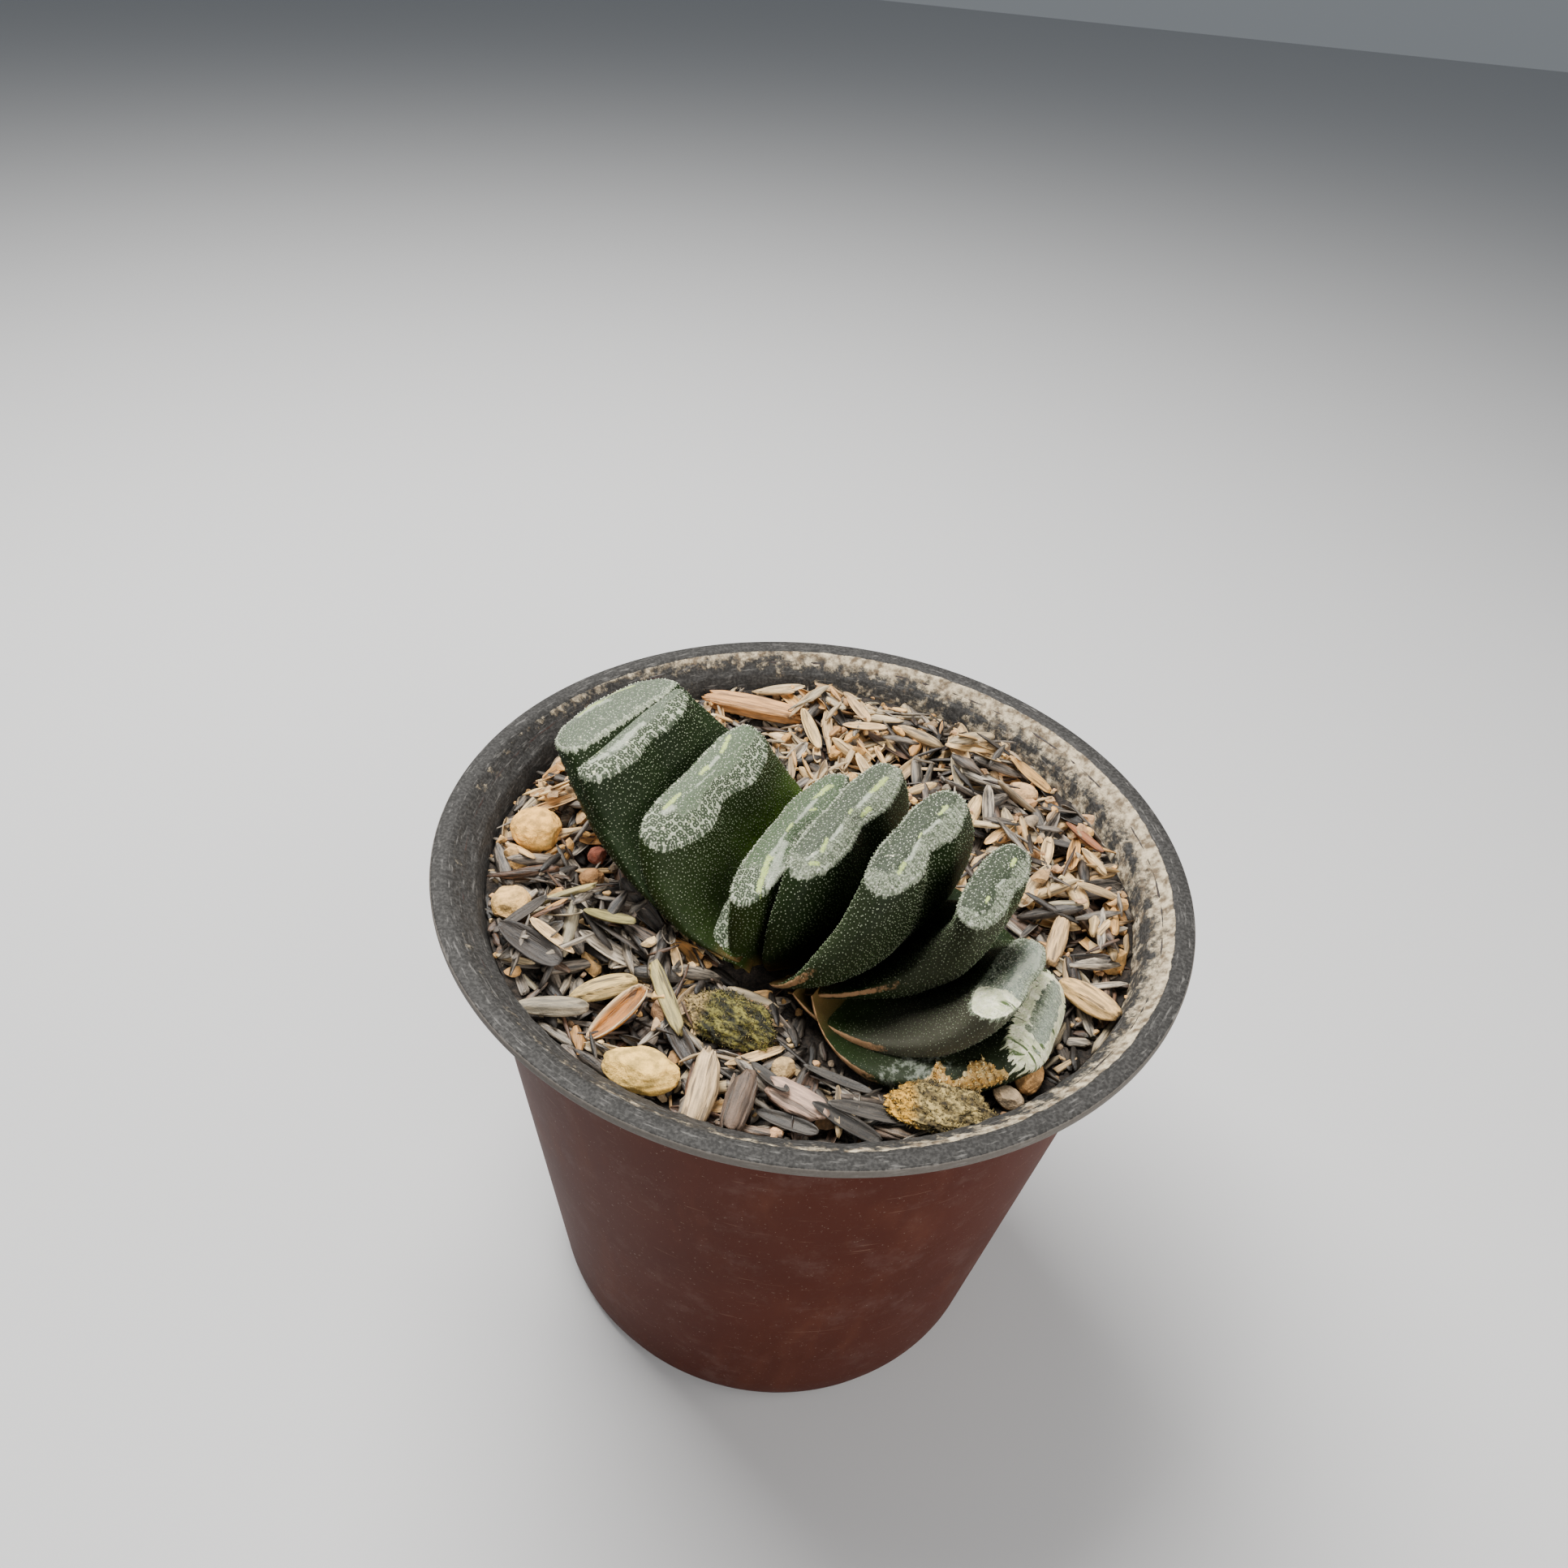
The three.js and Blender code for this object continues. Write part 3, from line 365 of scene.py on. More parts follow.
def even_section(leaf):
    """The leaf's section, x across and y through it from -1 to 1, in even steps round it."""
    angle = np.linspace(0, 2 * math.pi, 4001)
    x = np.sign(np.cos(angle)) * np.abs(np.cos(angle)) ** ROUND_ENDS
    y = np.sign(np.sin(angle)) * np.abs(np.sin(angle)) ** ROUND_FACES
    way = np.hypot(np.diff(x) * leaf.half_width[1], np.diff(y) * leaf.half_thick[1])
    travel = np.concatenate([[0], np.cumsum(way)])
    even = np.linspace(0, travel[-1], LEAF_COUNT, endpoint=False)
    return np.interp(even, travel, x), np.interp(even, travel, y)


def leaf_ways(leaf):
    """Which way the leaf leans from the stem, and which way it is broad."""
    c, s = math.cos(math.radians(leaf.turn)), math.sin(math.radians(leaf.turn))
    spin = np.array([[c, -s, 0], [s, c, 0], [0, 0, 1]])
    return spin @ ALONG * leaf.rank, spin @ ACROSS


def grown(ends, share):
    return ends[0] + (ends[1] - ends[0]) * share


def leaf_points(leaf, t, x, y, inset=0.0, rise=0.0):
    """Points on the leaf: t from foot to window, x and y round it, inset inwards, rise along it."""
    outward, sideways = leaf_ways(leaf)
    foot = ALONG * (STEM_ALONG + leaf.out * leaf.rank) + ACROSS * (STEM_ACROSS + leaf.across)
    foot = foot + UP * LEAF_FOOT_HEIGHT
    lean_foot, lean_top = (math.radians(lean) for lean in leaf.lean)
    bend = lean_top - lean_foot
    radius = leaf.length / bend
    lean = lean_foot + bend * t
    soft = smooth(t)
    half_width = grown(leaf.half_width, soft) + leaf.belly * 4 * t * (1 - t) - inset
    half_thick = grown(leaf.half_thick, smooth(np.minimum(1, t * 1.6)))
    thinning = THIN_MARGIN * (1 - smooth(np.minimum(1, t * 1.4)))
    notch = 1 + NOTCH_LEAN * leaf.rank * np.sign(y)
    waist = 1 - leaf.waist * notch * soft * np.exp(-((x / WAIST_SPREAD) ** 2))
    depth = y * (half_thick * waist * (1 - thinning * x * x) - inset)
    depth = depth - grown(leaf.wrap, soft) * np.abs(x) ** WRAP_POWER
    shear = math.tan(math.radians(leaf.cut)) * depth
    shear = shear + math.tan(math.radians(leaf.skew)) * half_width * x
    lift = shear * t ** 3 + rise
    reach = radius * (np.cos(lean_foot) - np.cos(lean)) + np.cos(lean) * depth + np.sin(lean) * lift
    height = radius * (np.sin(lean) - np.sin(lean_foot)) - np.sin(lean) * depth
    height = height + np.cos(lean) * lift
    return (foot + reach[..., None] * outward + height[..., None] * UP
            + (half_width * x)[..., None] * sideways)


def leaf_shell(leaf):
    """The leaf's fine surface: triangles, points, each point's site and the number of rows.

    A site is t, x, y and rim, the way from the window's edge, negative outside it.
    """
    x, y = even_section(leaf)
    ones = np.ones(LEAF_COUNT)
    rows, sites = [], []
    for t in np.linspace(0, 1 - EDGE_FILLET / leaf.length, LEAF_ROWS):
        rows.append(leaf_points(leaf, t * ones, x, y))
        sites.append((t, x, y, (t - 1) * leaf.length))
    for turn in np.linspace(0, math.pi / 2, EDGE_ROWS + 1)[1:]:
        inset, rise = EDGE_FILLET * (1 - math.cos(turn)), EDGE_FILLET * (math.sin(turn) - 1)
        rows.append(leaf_points(leaf, ones, x, y, inset, rise))
        sites.append((1.0, x, y, rise + inset))
    edge = rows[-1]
    middle_x = np.clip(x, -MIDDLE_REACH, MIDDLE_REACH)
    spine = leaf_points(leaf, ones, middle_x, 0 * ones, EDGE_FILLET)
    reach = np.linalg.norm(edge - spine, axis=1)
    lean = math.radians(leaf.lean[1])
    axis = leaf_ways(leaf)[0] * math.sin(lean) + UP * math.cos(lean)
    for share in np.linspace(1, 0, WINDOW_ROWS + 1)[1:]:
        dome = 1 - 0.5 * (middle_x + (x - middle_x) * share) ** 2
        crown = WINDOW_CROWN * (1 - share ** 2) * dome
        rows.append(spine + (edge - spine) * share + crown[:, None] * axis)
        sites.append((1.0, x * share + middle_x * (1 - share), y * share,
                      EDGE_FILLET + reach * (1 - share)))
    points = np.concatenate(rows)
    last = (len(rows) - 1) * LEAF_COUNT
    faces = np.concatenate([ring_faces(len(rows), LEAF_COUNT), seam_faces(LEAF_COUNT)[:, ::-1]])
    mirrored = last + LEAF_COUNT - (faces - last)
    faces = np.where(faces - last > LEAF_COUNT // 2, mirrored, faces)
    site = np.concatenate([np.stack(np.broadcast_arrays(*row, ones)[:4], 1) for row in sites])
    return outward_facing(points, faces), points, site, len(rows)


def seam_faces(count):
    """Triangles that close a flat ring by joining each point to its mirror point."""
    faces = []
    for side in range(count // 2):
        mirror = (count - side) % count
        if side > 0:
            faces.append((side, mirror, side + 1))
        if side < count // 2 - 1:
            faces.append((side + 1, mirror, count - side - 1))
    return np.array(faces)


def outward_facing(points, faces):
    a, b, c = (points[faces[:, k]] for k in range(3))
    volume = np.einsum("ij,ij->i", a, np.cross(b, c)).sum()
    return faces if volume > 0 else faces[:, ::-1]


def point_normals(points, faces):
    a, b, c = (points[faces[:, k]] for k in range(3))
    flat = np.cross(b - a, c - a)
    normals = np.zeros_like(points)
    for k in range(3):
        np.add.at(normals, faces[:, k], flat)
    return normals / np.maximum(np.linalg.norm(normals, axis=1), 1e-12)[:, None]


def wart_sites(leaf, points, normals, site, random):
    """Where the warts stand: in rough rows over the body, dense where the window is frosted."""
    grid = points.reshape(-1, LEAF_COUNT, 3)
    count = len(grid)
    body = LEAF_ROWS + EDGE_ROWS
    spots = []
    gaps = np.linalg.norm(np.diff(grid[:body], axis=0), axis=2).mean(1)
    travel = np.concatenate([[0], np.cumsum(gaps)])
    for row_at in np.arange(travel[-1], BARE_FOOT, -leaf.spacing):
        row = np.interp(row_at, travel, np.arange(body))
        ring = grid[int(row)]
        way = np.linalg.norm(np.roll(ring, -1, 0) - ring, axis=1)
        steps = int(way.sum() / leaf.spacing)
        at = (np.arange(steps) + random.uniform(-0.35, 0.35, steps)) * leaf.spacing
        column = np.interp(at % way.sum(), np.cumsum(way), np.arange(LEAF_COUNT))
        rows = np.clip(row + random.uniform(-0.45, 0.45, steps), 0, body - 1.01)
        share = 0.35 + 0.65 * step_between(0.15, 0.6, row_at / travel[-1])
        keep = random.random(steps) < share
        spots += list(zip(rows[keep], column[keep]))
    frost = frosted(leaf, site).reshape(count, LEAF_COUNT)
    border = step_between(1.8, 0.4, site[:, 3].reshape(count, LEAF_COUNT))
    sparse = 1 - 0.6 * leaf.net - 0.3 * leaf.gloom
    for at in range(body, count - 1):
        room = np.linalg.norm(np.roll(grid[at], -1, 0) - grid[at], axis=1)
        room = room * np.linalg.norm(grid[at] - grid[at - 1], axis=1)
        chance = room * ((0.30 + 1.8 * frost[at]) * sparse + 1.5 * border[at] + leaf.dots)
        columns = np.flatnonzero(random.random(LEAF_COUNT) < chance)
        spots += [(at + random.uniform(-0.5, 0.5), column + random.uniform(-0.5, 0.5))
                  for column in columns]
    spots = np.array(spots)
    row, column = np.clip(spots[:, 0], 0, count - 1.01), spots[:, 1] % LEAF_COUNT
    r, c = row.astype(int), column.astype(int)
    down, over = (row - r)[:, None], (column - c)[:, None]

    def between_points(table):
        low = table[r, c] * (1 - over) + table[r, (c + 1) % LEAF_COUNT] * over
        high = table[r + 1, c] * (1 - over) + table[r + 1, (c + 1) % LEAF_COUNT] * over
        return low * (1 - down) + high * down

    normal = between_points(normals.reshape(grid.shape))
    normal /= np.linalg.norm(normal, axis=1)[:, None]
    return between_points(grid), normal, site.reshape(count, LEAF_COUNT, 4)[r, c], column


def warts(place, normal, size, random):
    """Low pointed warts on the given places: points, triangles and which points are tips."""
    count = len(place)
    helper = np.where(np.abs(normal[:, 2:]) < 0.9, [[0, 0, 1.0]], [[1.0, 0, 0]])
    right = np.cross(normal, helper)
    right /= np.linalg.norm(right, axis=1)[:, None]
    front = np.cross(normal, right)
    angle = circle(WART_SIDES) + random.uniform(0, 1, (count, 1))
    round_it = np.cos(angle)[..., None] * right[:, None] + np.sin(angle)[..., None] * front[:, None]
    foot = place[:, None] - normal[:, None] * WART_SUNK
    ring = foot + (WART_RADIUS * size)[:, None, None] * round_it
    tip = place + normal * (WART_HEIGHT * size)[:, None]
    points = np.concatenate([ring, tip[:, None]], 1).reshape(-1, 3)
    first = np.arange(count)[:, None] * (WART_SIDES + 1)
    side = np.arange(WART_SIDES)[None, :]
    faces = np.stack([first + side, first + (side + 1) % WART_SIDES,
                      first + WART_SIDES + 0 * side], 2).reshape(-1, 3)
    return points, faces, np.tile([0.0] * WART_SIDES + [1.0], count)


def strokes(leaf, lines, x, inner):
    """How near each point of the window is to the given strokes: 1 on their line."""
    size = np.array([leaf.half_width[1], leaf.half_thick[1]])
    place = np.stack([x, inner], 1) * size
    near = np.zeros(len(x))
    for x0, inner0, x1, inner1, breadth in lines:
        start = np.array([x0, inner0]) * size
        way = np.array([x1, inner1]) * size - start
        along = np.clip((place - start) @ way / (way @ way), 0, 1)
        gap = np.linalg.norm(place - start - along[:, None] * way, axis=1)
        near = np.maximum(near, np.exp(-((gap / breadth) ** 2)))
    return near


def frosted(leaf, site):
    """How frosted the window is: its inner side, its near end and, on some leaves, its border."""
    _, x, y, rim = site.T
    inner = y * leaf.rank
    across, along = leaf.frost
    wander = 0.08 * np.sin(x * 9 + across * 7) + 0.05 * np.sin(x * 23)
    frost = np.maximum(step_between(across - 0.1, across + 0.16, inner + wander),
                       step_between(along + 0.08, along - 0.08, x + 0.5 * wander))
    return np.maximum(frost, step_between(leaf.edge + 0.25, leaf.edge - 0.25, rim + 2 * wander))


def leaf_marks(leaf, points, site):
    """How strong each marking is at each point of the leaf."""
    t, x, y, rim = site.T
    inner = y * leaf.rank
    whole = np.ones(len(x))
    frost = frosted(leaf, site)
    cork = leaf.cork * step_between(0.30, 0.6, -x) * step_between(-0.2, 0.2, rim)
    if leaf.rind:
        cork = np.maximum(cork, step_between(leaf.rind, leaf.rind * 0.5, rim))
    margin = step_between(0.975, 0.999, np.abs(x)) * step_between(0.75, 0.3, t)
    reach = np.interp(t, *SCAB_REACH) + 0.10 * hashed_waves(points, 1.6, 6, 2)
    near_edge = step_between(-0.5, -0.7, x)
    scab = step_between(reach + 0.06, reach - 0.06, -y) * step_between(0.35, 0.15, y) * near_edge
    glow = step_between(0.9, 0.3, t) * step_between(-0.3, 0.8, inner) * step_between(-0.6, 0.7, x)
    silver = near_edge * step_between(0.4, 0.55, t) * step_between(0.85, 0.75, t)
    # Painted light: the window's middle and inner side made lighter, where the lamps leave it in
    # shade.
    bright = step_between(-0.5, 0.1, inner) * step_between(0.4, 1.1, rim)
    dusk = step_between(-0.2, 0.6, -x) * step_between(0.3, 0.6, t)
    return dict(frost=frost, net=leaf.net * frost, lime=strokes(leaf, leaf.lime, x, inner),
                pale=strokes(leaf, leaf.pale, x, inner), cork=cork, dry=leaf.dry * margin,
                scab=leaf.scab * scab, fresh=leaf.fresh * whole, glow=leaf.glow * glow,
                gloom=leaf.gloom * whole, bright=leaf.bright * bright, ragged=leaf.ragged * whole,
                silver=leaf.silver * silver, dusk=leaf.dusk * dusk, rim=rim, reach=t)


def build_leaf(leaf, material, random):
    """Makes one leaf, and gives its points, their normals and how crusted they are."""
    faces, points, site, count = leaf_shell(leaf)
    normals = point_normals(points, faces)
    bumps = 0.10 * hashed_waves(points, 0.5, SEED + len(leaf.name), 2)
    bumps = bumps + 0.03 * hashed_waves(points, 2.4, 4, 1)
    points = points + normals * bumps[:, None]
    marks = leaf_marks(leaf, points, site)
    thick = marks["scab"] * (0.35 + 0.35 * hashed_waves(points, 3.0, 5, 3))
    points = points + normals * thick[:, None]
    place, normal, spot, column = wart_sites(leaf, points, normals, site, random)
    rim = spot[:, 3]
    size = random.uniform(0.6, 1.2, len(place)) * leaf.wart
    size *= np.where(rim > 0.5, 0.8 + 0.35 * leaf.dots, 1.0)
    size *= np.where(np.abs(rim) < 0.6, 1.35, 1.0)
    size *= 0.6 + 0.4 * step_between(0.05, 0.5, spot[:, 0])
    wart_points, wart_faces, tip = warts(place, normal, size, random)
    spot = np.repeat(spot, WART_SIDES + 1, 0)
    wart_marks = leaf_marks(leaf, wart_points, spot)
    marks_all = {key: np.concatenate([marks[key], wart_marks[key]]) for key in marks}
    marks_all["tip"] = np.concatenate([np.zeros(len(points)), tip])
    everything = np.concatenate([points, wart_points])
    triangles = np.concatenate([faces, wart_faces + len(points)])
    across = np.concatenate([site, spot])[:, 1:3] * [leaf.half_width[1], leaf.half_thick[1]]
    flat = np.concatenate([across, np.full((len(across), 1), leaf.out)], 1)
    column = np.repeat(column, WART_SIDES + 1)
    turn = np.concatenate([np.tile(np.arange(LEAF_COUNT), count), column])
    turn = turn / LEAF_COUNT * 2 * math.pi
    round_it = 0.7 * leaf.half_width[1]
    comb = [round_it * np.cos(turn), round_it * np.sin(turn), 0.22 * marks_all["rim"]]
    used, triangles = np.unique(triangles, return_inverse=True)
    piece = make_mesh(leaf.name + "_fine", everything[used], triangles.reshape(-1, 3), material,
                      values={key: mark[used] for key, mark in marks_all.items()},
                      vectors={"flat": flat[used], "comb": np.stack(comb, 1)[used]})
    seat(piece, leaf.name)
    return points, normals, marks["scab"]


def build_crust(cloud, material, random):
    """Rough grains and torn flakes gathered on the crusted margin of a leaf."""
    points, normals, scab = cloud
    heap = Heap()
    grains = [pebble_shape(random) for _ in range(8)]
    flakes = [splinter_shape(random) for _ in range(8)]
    for index in random.choice(np.flatnonzero(scab > 0.4), 330):
        torn = random.random() < 0.35
        up = unit(normals[index] + random.normal(0, 0.6, 3))
        side = unit(np.cross(up, random.normal(size=3)))
        spin = np.stack([up, side, np.cross(up, side)], 1)
        if torn:
            long, thin = random.uniform(0.5, 1.1), 0.16
        else:
            long, thin = random.uniform(0.15, 0.4), random.uniform(0.3, 0.7)
        kind = (flakes if torn else grains)[random.integers(8)]
        size = np.array([long, thin, random.uniform(0.5, 1) * thin])
        heap.add(kind, size, spin, points[index] + normals[index] * 0.1, pick_tint(CRUST, random),
                 random)
    seat(heap.build("leaf_crust_flakes", material, False))


# Soil

# The height map's cell and half its side.
CELL = 0.25
HALF_FIELD = 46.0
FIELD = int(2 * HALF_FIELD / CELL)
# What the loose pieces keep from the leaves over them and from the wall, and how deep they start.
LEAF_GAP = 0.2
WALL_GAP = 0.25
FIRST_DEPTH = 1.3


def wall_radius(height):
    height = np.asarray(height)
    step = np.where(height > POT_HEIGHT - STEP_DEPTH, STEP_WIDTH, 0.0)
    return FOOT_RADIUS + (WALL_TOP_RADIUS - STEP_WIDTH - FOOT_RADIUS) * (height / POT_HEIGHT) + step


def soil_height(x, y):
    slope = SOIL_RISE * (y / RIM_RADIUS)
    uneven = 0.45 * np.sin(x * 0.31 + 1.2) * np.cos(y * 0.27 - 0.4)
    uneven = uneven + 0.25 * np.sin(x * 0.63 - y * 0.5)
    bank = SOIL_BANK * (np.hypot(x, y) / RIM_INNER_RADIUS) ** 3
    return SOIL_LEVEL + slope + bank + uneven


def cells(x, y):
    return tuple(np.clip(((np.asarray(way) + HALF_FIELD) / CELL).astype(int), 0, FIELD - 1)
                 for way in (x, y))


class Ground:
    """The height of what lies in the pot, and the lowest thing over each place."""

    def __init__(self, leaf_clouds):
        line = (np.arange(FIELD) + 0.5) * CELL - HALF_FIELD
        self.x, self.y = np.meshgrid(line, line, indexing="ij")
        self.height = soil_height(self.x, self.y) - FIRST_DEPTH
        table = np.full((FIELD, FIELD), 200.0)
        for cloud in leaf_clouds:
            np.minimum.at(table, cells(cloud[:, 0], cloud[:, 1]), cloud[:, 2])
        for _ in range(3):
            grown = table.copy()
            grown[1:] = np.minimum(grown[1:], table[:-1])
            grown[:-1] = np.minimum(grown[:-1], table[1:])
            grown[:, 1:] = np.minimum(grown[:, 1:], table[:, :-1])
            grown[:, :-1] = np.minimum(grown[:, :-1], table[:, 1:])
            table = grown
        self.ceiling = table

    def lay(self, size, x, y, turn, sink, steepest=0.5):
        """Lays a piece of this size: its height and two slopes, or None where it doesn't fit."""
        length, width, height = size
        c, s = math.cos(turn), math.sin(turn)

        def spread(along, across, least=0):
            u = np.linspace(-0.5, 0.5, max(least, along))[:, None]
            v = np.linspace(-0.5, 0.5, max(least - 2, across))[None, :]
            fu, fv = u * length, v * width
            return u, v, fu, fv, x + fu * c - fv * s, y + fu * s + fv * c

        u, v, fu, fv, px, py = spread(9, 5)
        if np.hypot(px, py).max() > pot_inside() - WALL_GAP:
            return None
        at = cells(px, py)
        under = self.height[at]
        pitch = (under[5:].mean() - under[:4].mean()) / (0.56 * length)
        pitch = float(np.clip(pitch, -steepest, steepest))
        roll = (under[:, 3:].mean() - under[:, :2].mean()) / (0.7 * width)
        roll = float(np.clip(roll, -steepest, steepest))
        plane = fu * pitch + fv * roll
        rest = np.quantile(under - plane, 0.8) - sink
        if (rest + plane + height > self.ceiling[at] - LEAF_GAP).any():
            return None
        u, v, fu, fv, px, py = spread(int(length / CELL), int(width / CELL), 5)
        shape = np.clip(1 - (2 * u) ** 4, 0, 1) * np.clip(1 - (2 * v) ** 2 * 0.7, 0, 1)
        np.maximum.at(self.height, cells(px, py), rest + fu * pitch + fv * roll + height * shape)
        return rest, pitch, roll

    def cover(self, x, y, radius, top):
        """Keeps other pieces off a place."""
        near = np.hypot(self.x - x, self.y - y) < radius
        self.ceiling[near] = np.minimum(self.ceiling[near], top)


def pot_inside():
    """The pot's inner radius at the top of the soil's bank."""
    return float(wall_radius(SOIL_LEVEL + SOIL_BANK)) - WALL_THICKNESS


def turned_matrix(turn, pitch=0.0, roll=0.0):
    """Columns: where a piece's own axes point once it lies on a slope, turned."""
    forward = unit(np.array([math.cos(turn), math.sin(turn), pitch]))
    side = np.array([-math.sin(turn), math.cos(turn), roll])
    side = unit(side - forward * (side @ forward))
    return np.stack([forward, side, np.cross(forward, side)], 1)


def rolled(angle):
    c, s = math.cos(angle), math.sin(angle)
    return np.array([[1, 0, 0], [0, c, -s], [0, s, c]])


def husk_shape(random, stations=8, across=4, broken=False):
    """Half of a rice grain's shell, one unit long: a ribbed boat, with its own coordinates."""
    s = np.linspace(0.01, random.uniform(0.55, 0.8) if broken else 0.99, stations)
    width = (s ** 0.55 * (1 - s) ** 0.42) / 0.51
    angle = np.linspace(0, math.pi, across + 1)
    rib = 1 + 0.10 * np.cos(angle * 6)[None, :]
    bow = 0.06 * random.uniform(-1, 1.4) * np.sin(math.pi * s)
    outer = np.stack([
        np.broadcast_to((s - 0.5)[:, None], (stations, across + 1)),
        width[:, None] * np.cos(angle)[None, :] * 0.5 * rib,
        -width[:, None] * np.sin(angle)[None, :] * 0.42 * rib + bow[:, None] + 0.1], 2)
    inner = outer.copy()
    inner[..., 1] *= 0.86
    inner[..., 2] = (outer[..., 2] - 0.1) * 0.86 + 0.13
    loop = np.concatenate([outer, inner[:, ::-1]], 1)
    count = loop.shape[1]
    points = loop.reshape(-1, 3)
    ends = []
    for k in range(across):
        a, b, c, d = k, k + 1, count - 2 - k, count - 1 - k
        ends += [(a, c, b), (a, d, c)]
    ends = np.array(ends)
    far_ends = ends[:, [0, 2, 1]] + (stations - 1) * count
    faces = np.concatenate([ring_faces(stations, count), ends, far_ends])
    return points, outward_facing(points, faces)


def chipped(points, random, cuts, least):
    """A round shape with flats knocked off it."""
    for _ in range(cuts):
        way = unit(random.normal(size=3))
        over = np.maximum(points @ way - random.uniform(least, 0.5), 0)
        points = points - over[:, None] * way
    return points


def pebble_shape(random):
    """An angular pebble, one unit across."""
    points, faces = icosphere(1)
    lumps = hashed_waves(points, 0.9, int(random.integers(1 << 30)), 2)
    return chipped(points * (0.55 * (1 + 0.22 * lumps))[:, None], random, 14, 0.22), faces


def splinter_shape(random, stations=5, sides=5):
    """A split piece of husk or wood, one unit long, with ragged blunt ends."""
    s = np.linspace(0, 1, stations)
    share = np.interp(s, [0, 0.15, 0.6, 1], [0.35, 0.85, 1, 0.4])
    share = share * random.uniform(0.8, 1.1, stations)
    angle = circle(sides) + random.uniform(0, 1)
    ring = np.stack([np.zeros(sides), np.cos(angle) * 0.5, np.sin(angle) * 0.5], 1)
    drift = np.cumsum(random.normal(0, 0.06, (stations, 2)), 0)
    points = ring[None] * share[:, None, None] * random.uniform(0.75, 1.15, (stations, sides, 1))
    points[..., 0] = (s - 0.5)[:, None] + random.normal(0, 0.025, (stations, sides))
    points[..., 1:] += drift[:, None]
    points = points.reshape(-1, 3)
    return points, outward_facing(points, tube_faces(stations, sides))


def chip_shape(random, stations=40, sides=32):
    """A flat split chip of wood, one unit long, with fibres along it and stepped, torn ends."""
    s = np.linspace(0, 1, stations)
    angle = circle(sides)
    broad = np.abs(np.cos(angle)) ** 0.5 * np.sign(np.cos(angle))
    high = np.abs(np.sin(angle)) ** 0.7 * np.sign(np.sin(angle))
    fibres = 1 + 0.16 * random.uniform(-1, 1, sides)
    share = np.interp(s, [0, 0.12, 0.5, 0.85, 1], [0.55, 0.85, 1, 0.8, 0.4])
    bend = 0.12 * np.sin(math.pi * s) * random.uniform(-1, 1)
    torn = np.repeat(random.uniform(-0.09, 0.09, sides // 2), 2)
    points = np.zeros((stations, sides, 3))
    points[..., 0] = (s - 0.5)[:, None] + torn * (np.abs(s - 0.5) * 2)[:, None] ** 6
    points[..., 1] = 0.5 * broad * fibres * share[:, None] + bend[:, None]
    points[..., 2] = 0.5 * high * fibres * (0.6 + 0.4 * share[:, None])
    points = points.reshape(-1, 3)
    return points, outward_facing(points, tube_faces(stations, sides))


def icosphere(levels):
    gold = (1 + math.sqrt(5)) / 2
    points = [(-1, gold, 0), (1, gold, 0), (-1, -gold, 0), (1, -gold, 0),
              (0, -1, gold), (0, 1, gold), (0, -1, -gold), (0, 1, -gold),
              (gold, 0, -1), (gold, 0, 1), (-gold, 0, -1), (-gold, 0, 1)]
    faces = [(0, 11, 5), (0, 5, 1), (0, 1, 7), (0, 7, 10), (0, 10, 11), (1, 5, 9), (5, 11, 4),
             (11, 10, 2), (10, 7, 6), (7, 1, 8), (3, 9, 4), (3, 4, 2), (3, 2, 6), (3, 6, 8),
             (3, 8, 9), (4, 9, 5), (2, 4, 11), (6, 2, 10), (8, 6, 7), (9, 8, 1)]
    points = [unit(np.array(p)) for p in points]
    for _ in range(levels):
        middle, split = {}, []

        def halfway(a, b):
            key = (min(a, b), max(a, b))
            if key not in middle:
                points.append(unit(points[a] + points[b]))
                middle[key] = len(points) - 1
            return middle[key]

        for a, b, c in faces:
            ab, bc, ca = halfway(a, b), halfway(b, c), halfway(c, a)
            split += [(a, ab, ca), (b, bc, ab), (c, ca, bc), (ab, bc, ca)]
        faces = split
    return np.array(points), np.array(faces)


class Heap:
    """Many small shapes gathered into one mesh, each with its tint and its own coordinates."""

    def __init__(self, palette=None):
        self.palette = palette
        self.parts = []
        self.count = 0

    def add(self, shape, size, spin, place, tint, random):
        points, faces = shape
        sized = points * size
        self.put(sized @ spin.T + place, faces, tint, sized + random.uniform(0, 90, 3))

    def put(self, points, faces, tint, own):
        tint = np.broadcast_to(tint, (len(points), 3))
        self.parts.append((points, faces + self.count, tint, own))
        self.count += len(points)

    def build(self, name, material, smooth_faces=True):
        points, faces, tints, own = (np.concatenate(tables) for tables in zip(*self.parts))
        solid = np.pad(tints, ((0, 0), (0, 1)), constant_values=1.0)
        return make_mesh(name, points, faces, material, smooth_faces, colours={"tint": solid},
                         vectors={"own": own})


def pick_tint(palette, random, spread=0.18):
    """A colour between two of the palette's, a little lighter or darker."""
    a, b = (np.array(palette[random.integers(len(palette))]) for _ in range(2))
    tint = a + (b - a) * random.random() * 0.5
    return np.clip(tint * (1 + random.uniform(-spread, spread)), 0.004, 0.95)


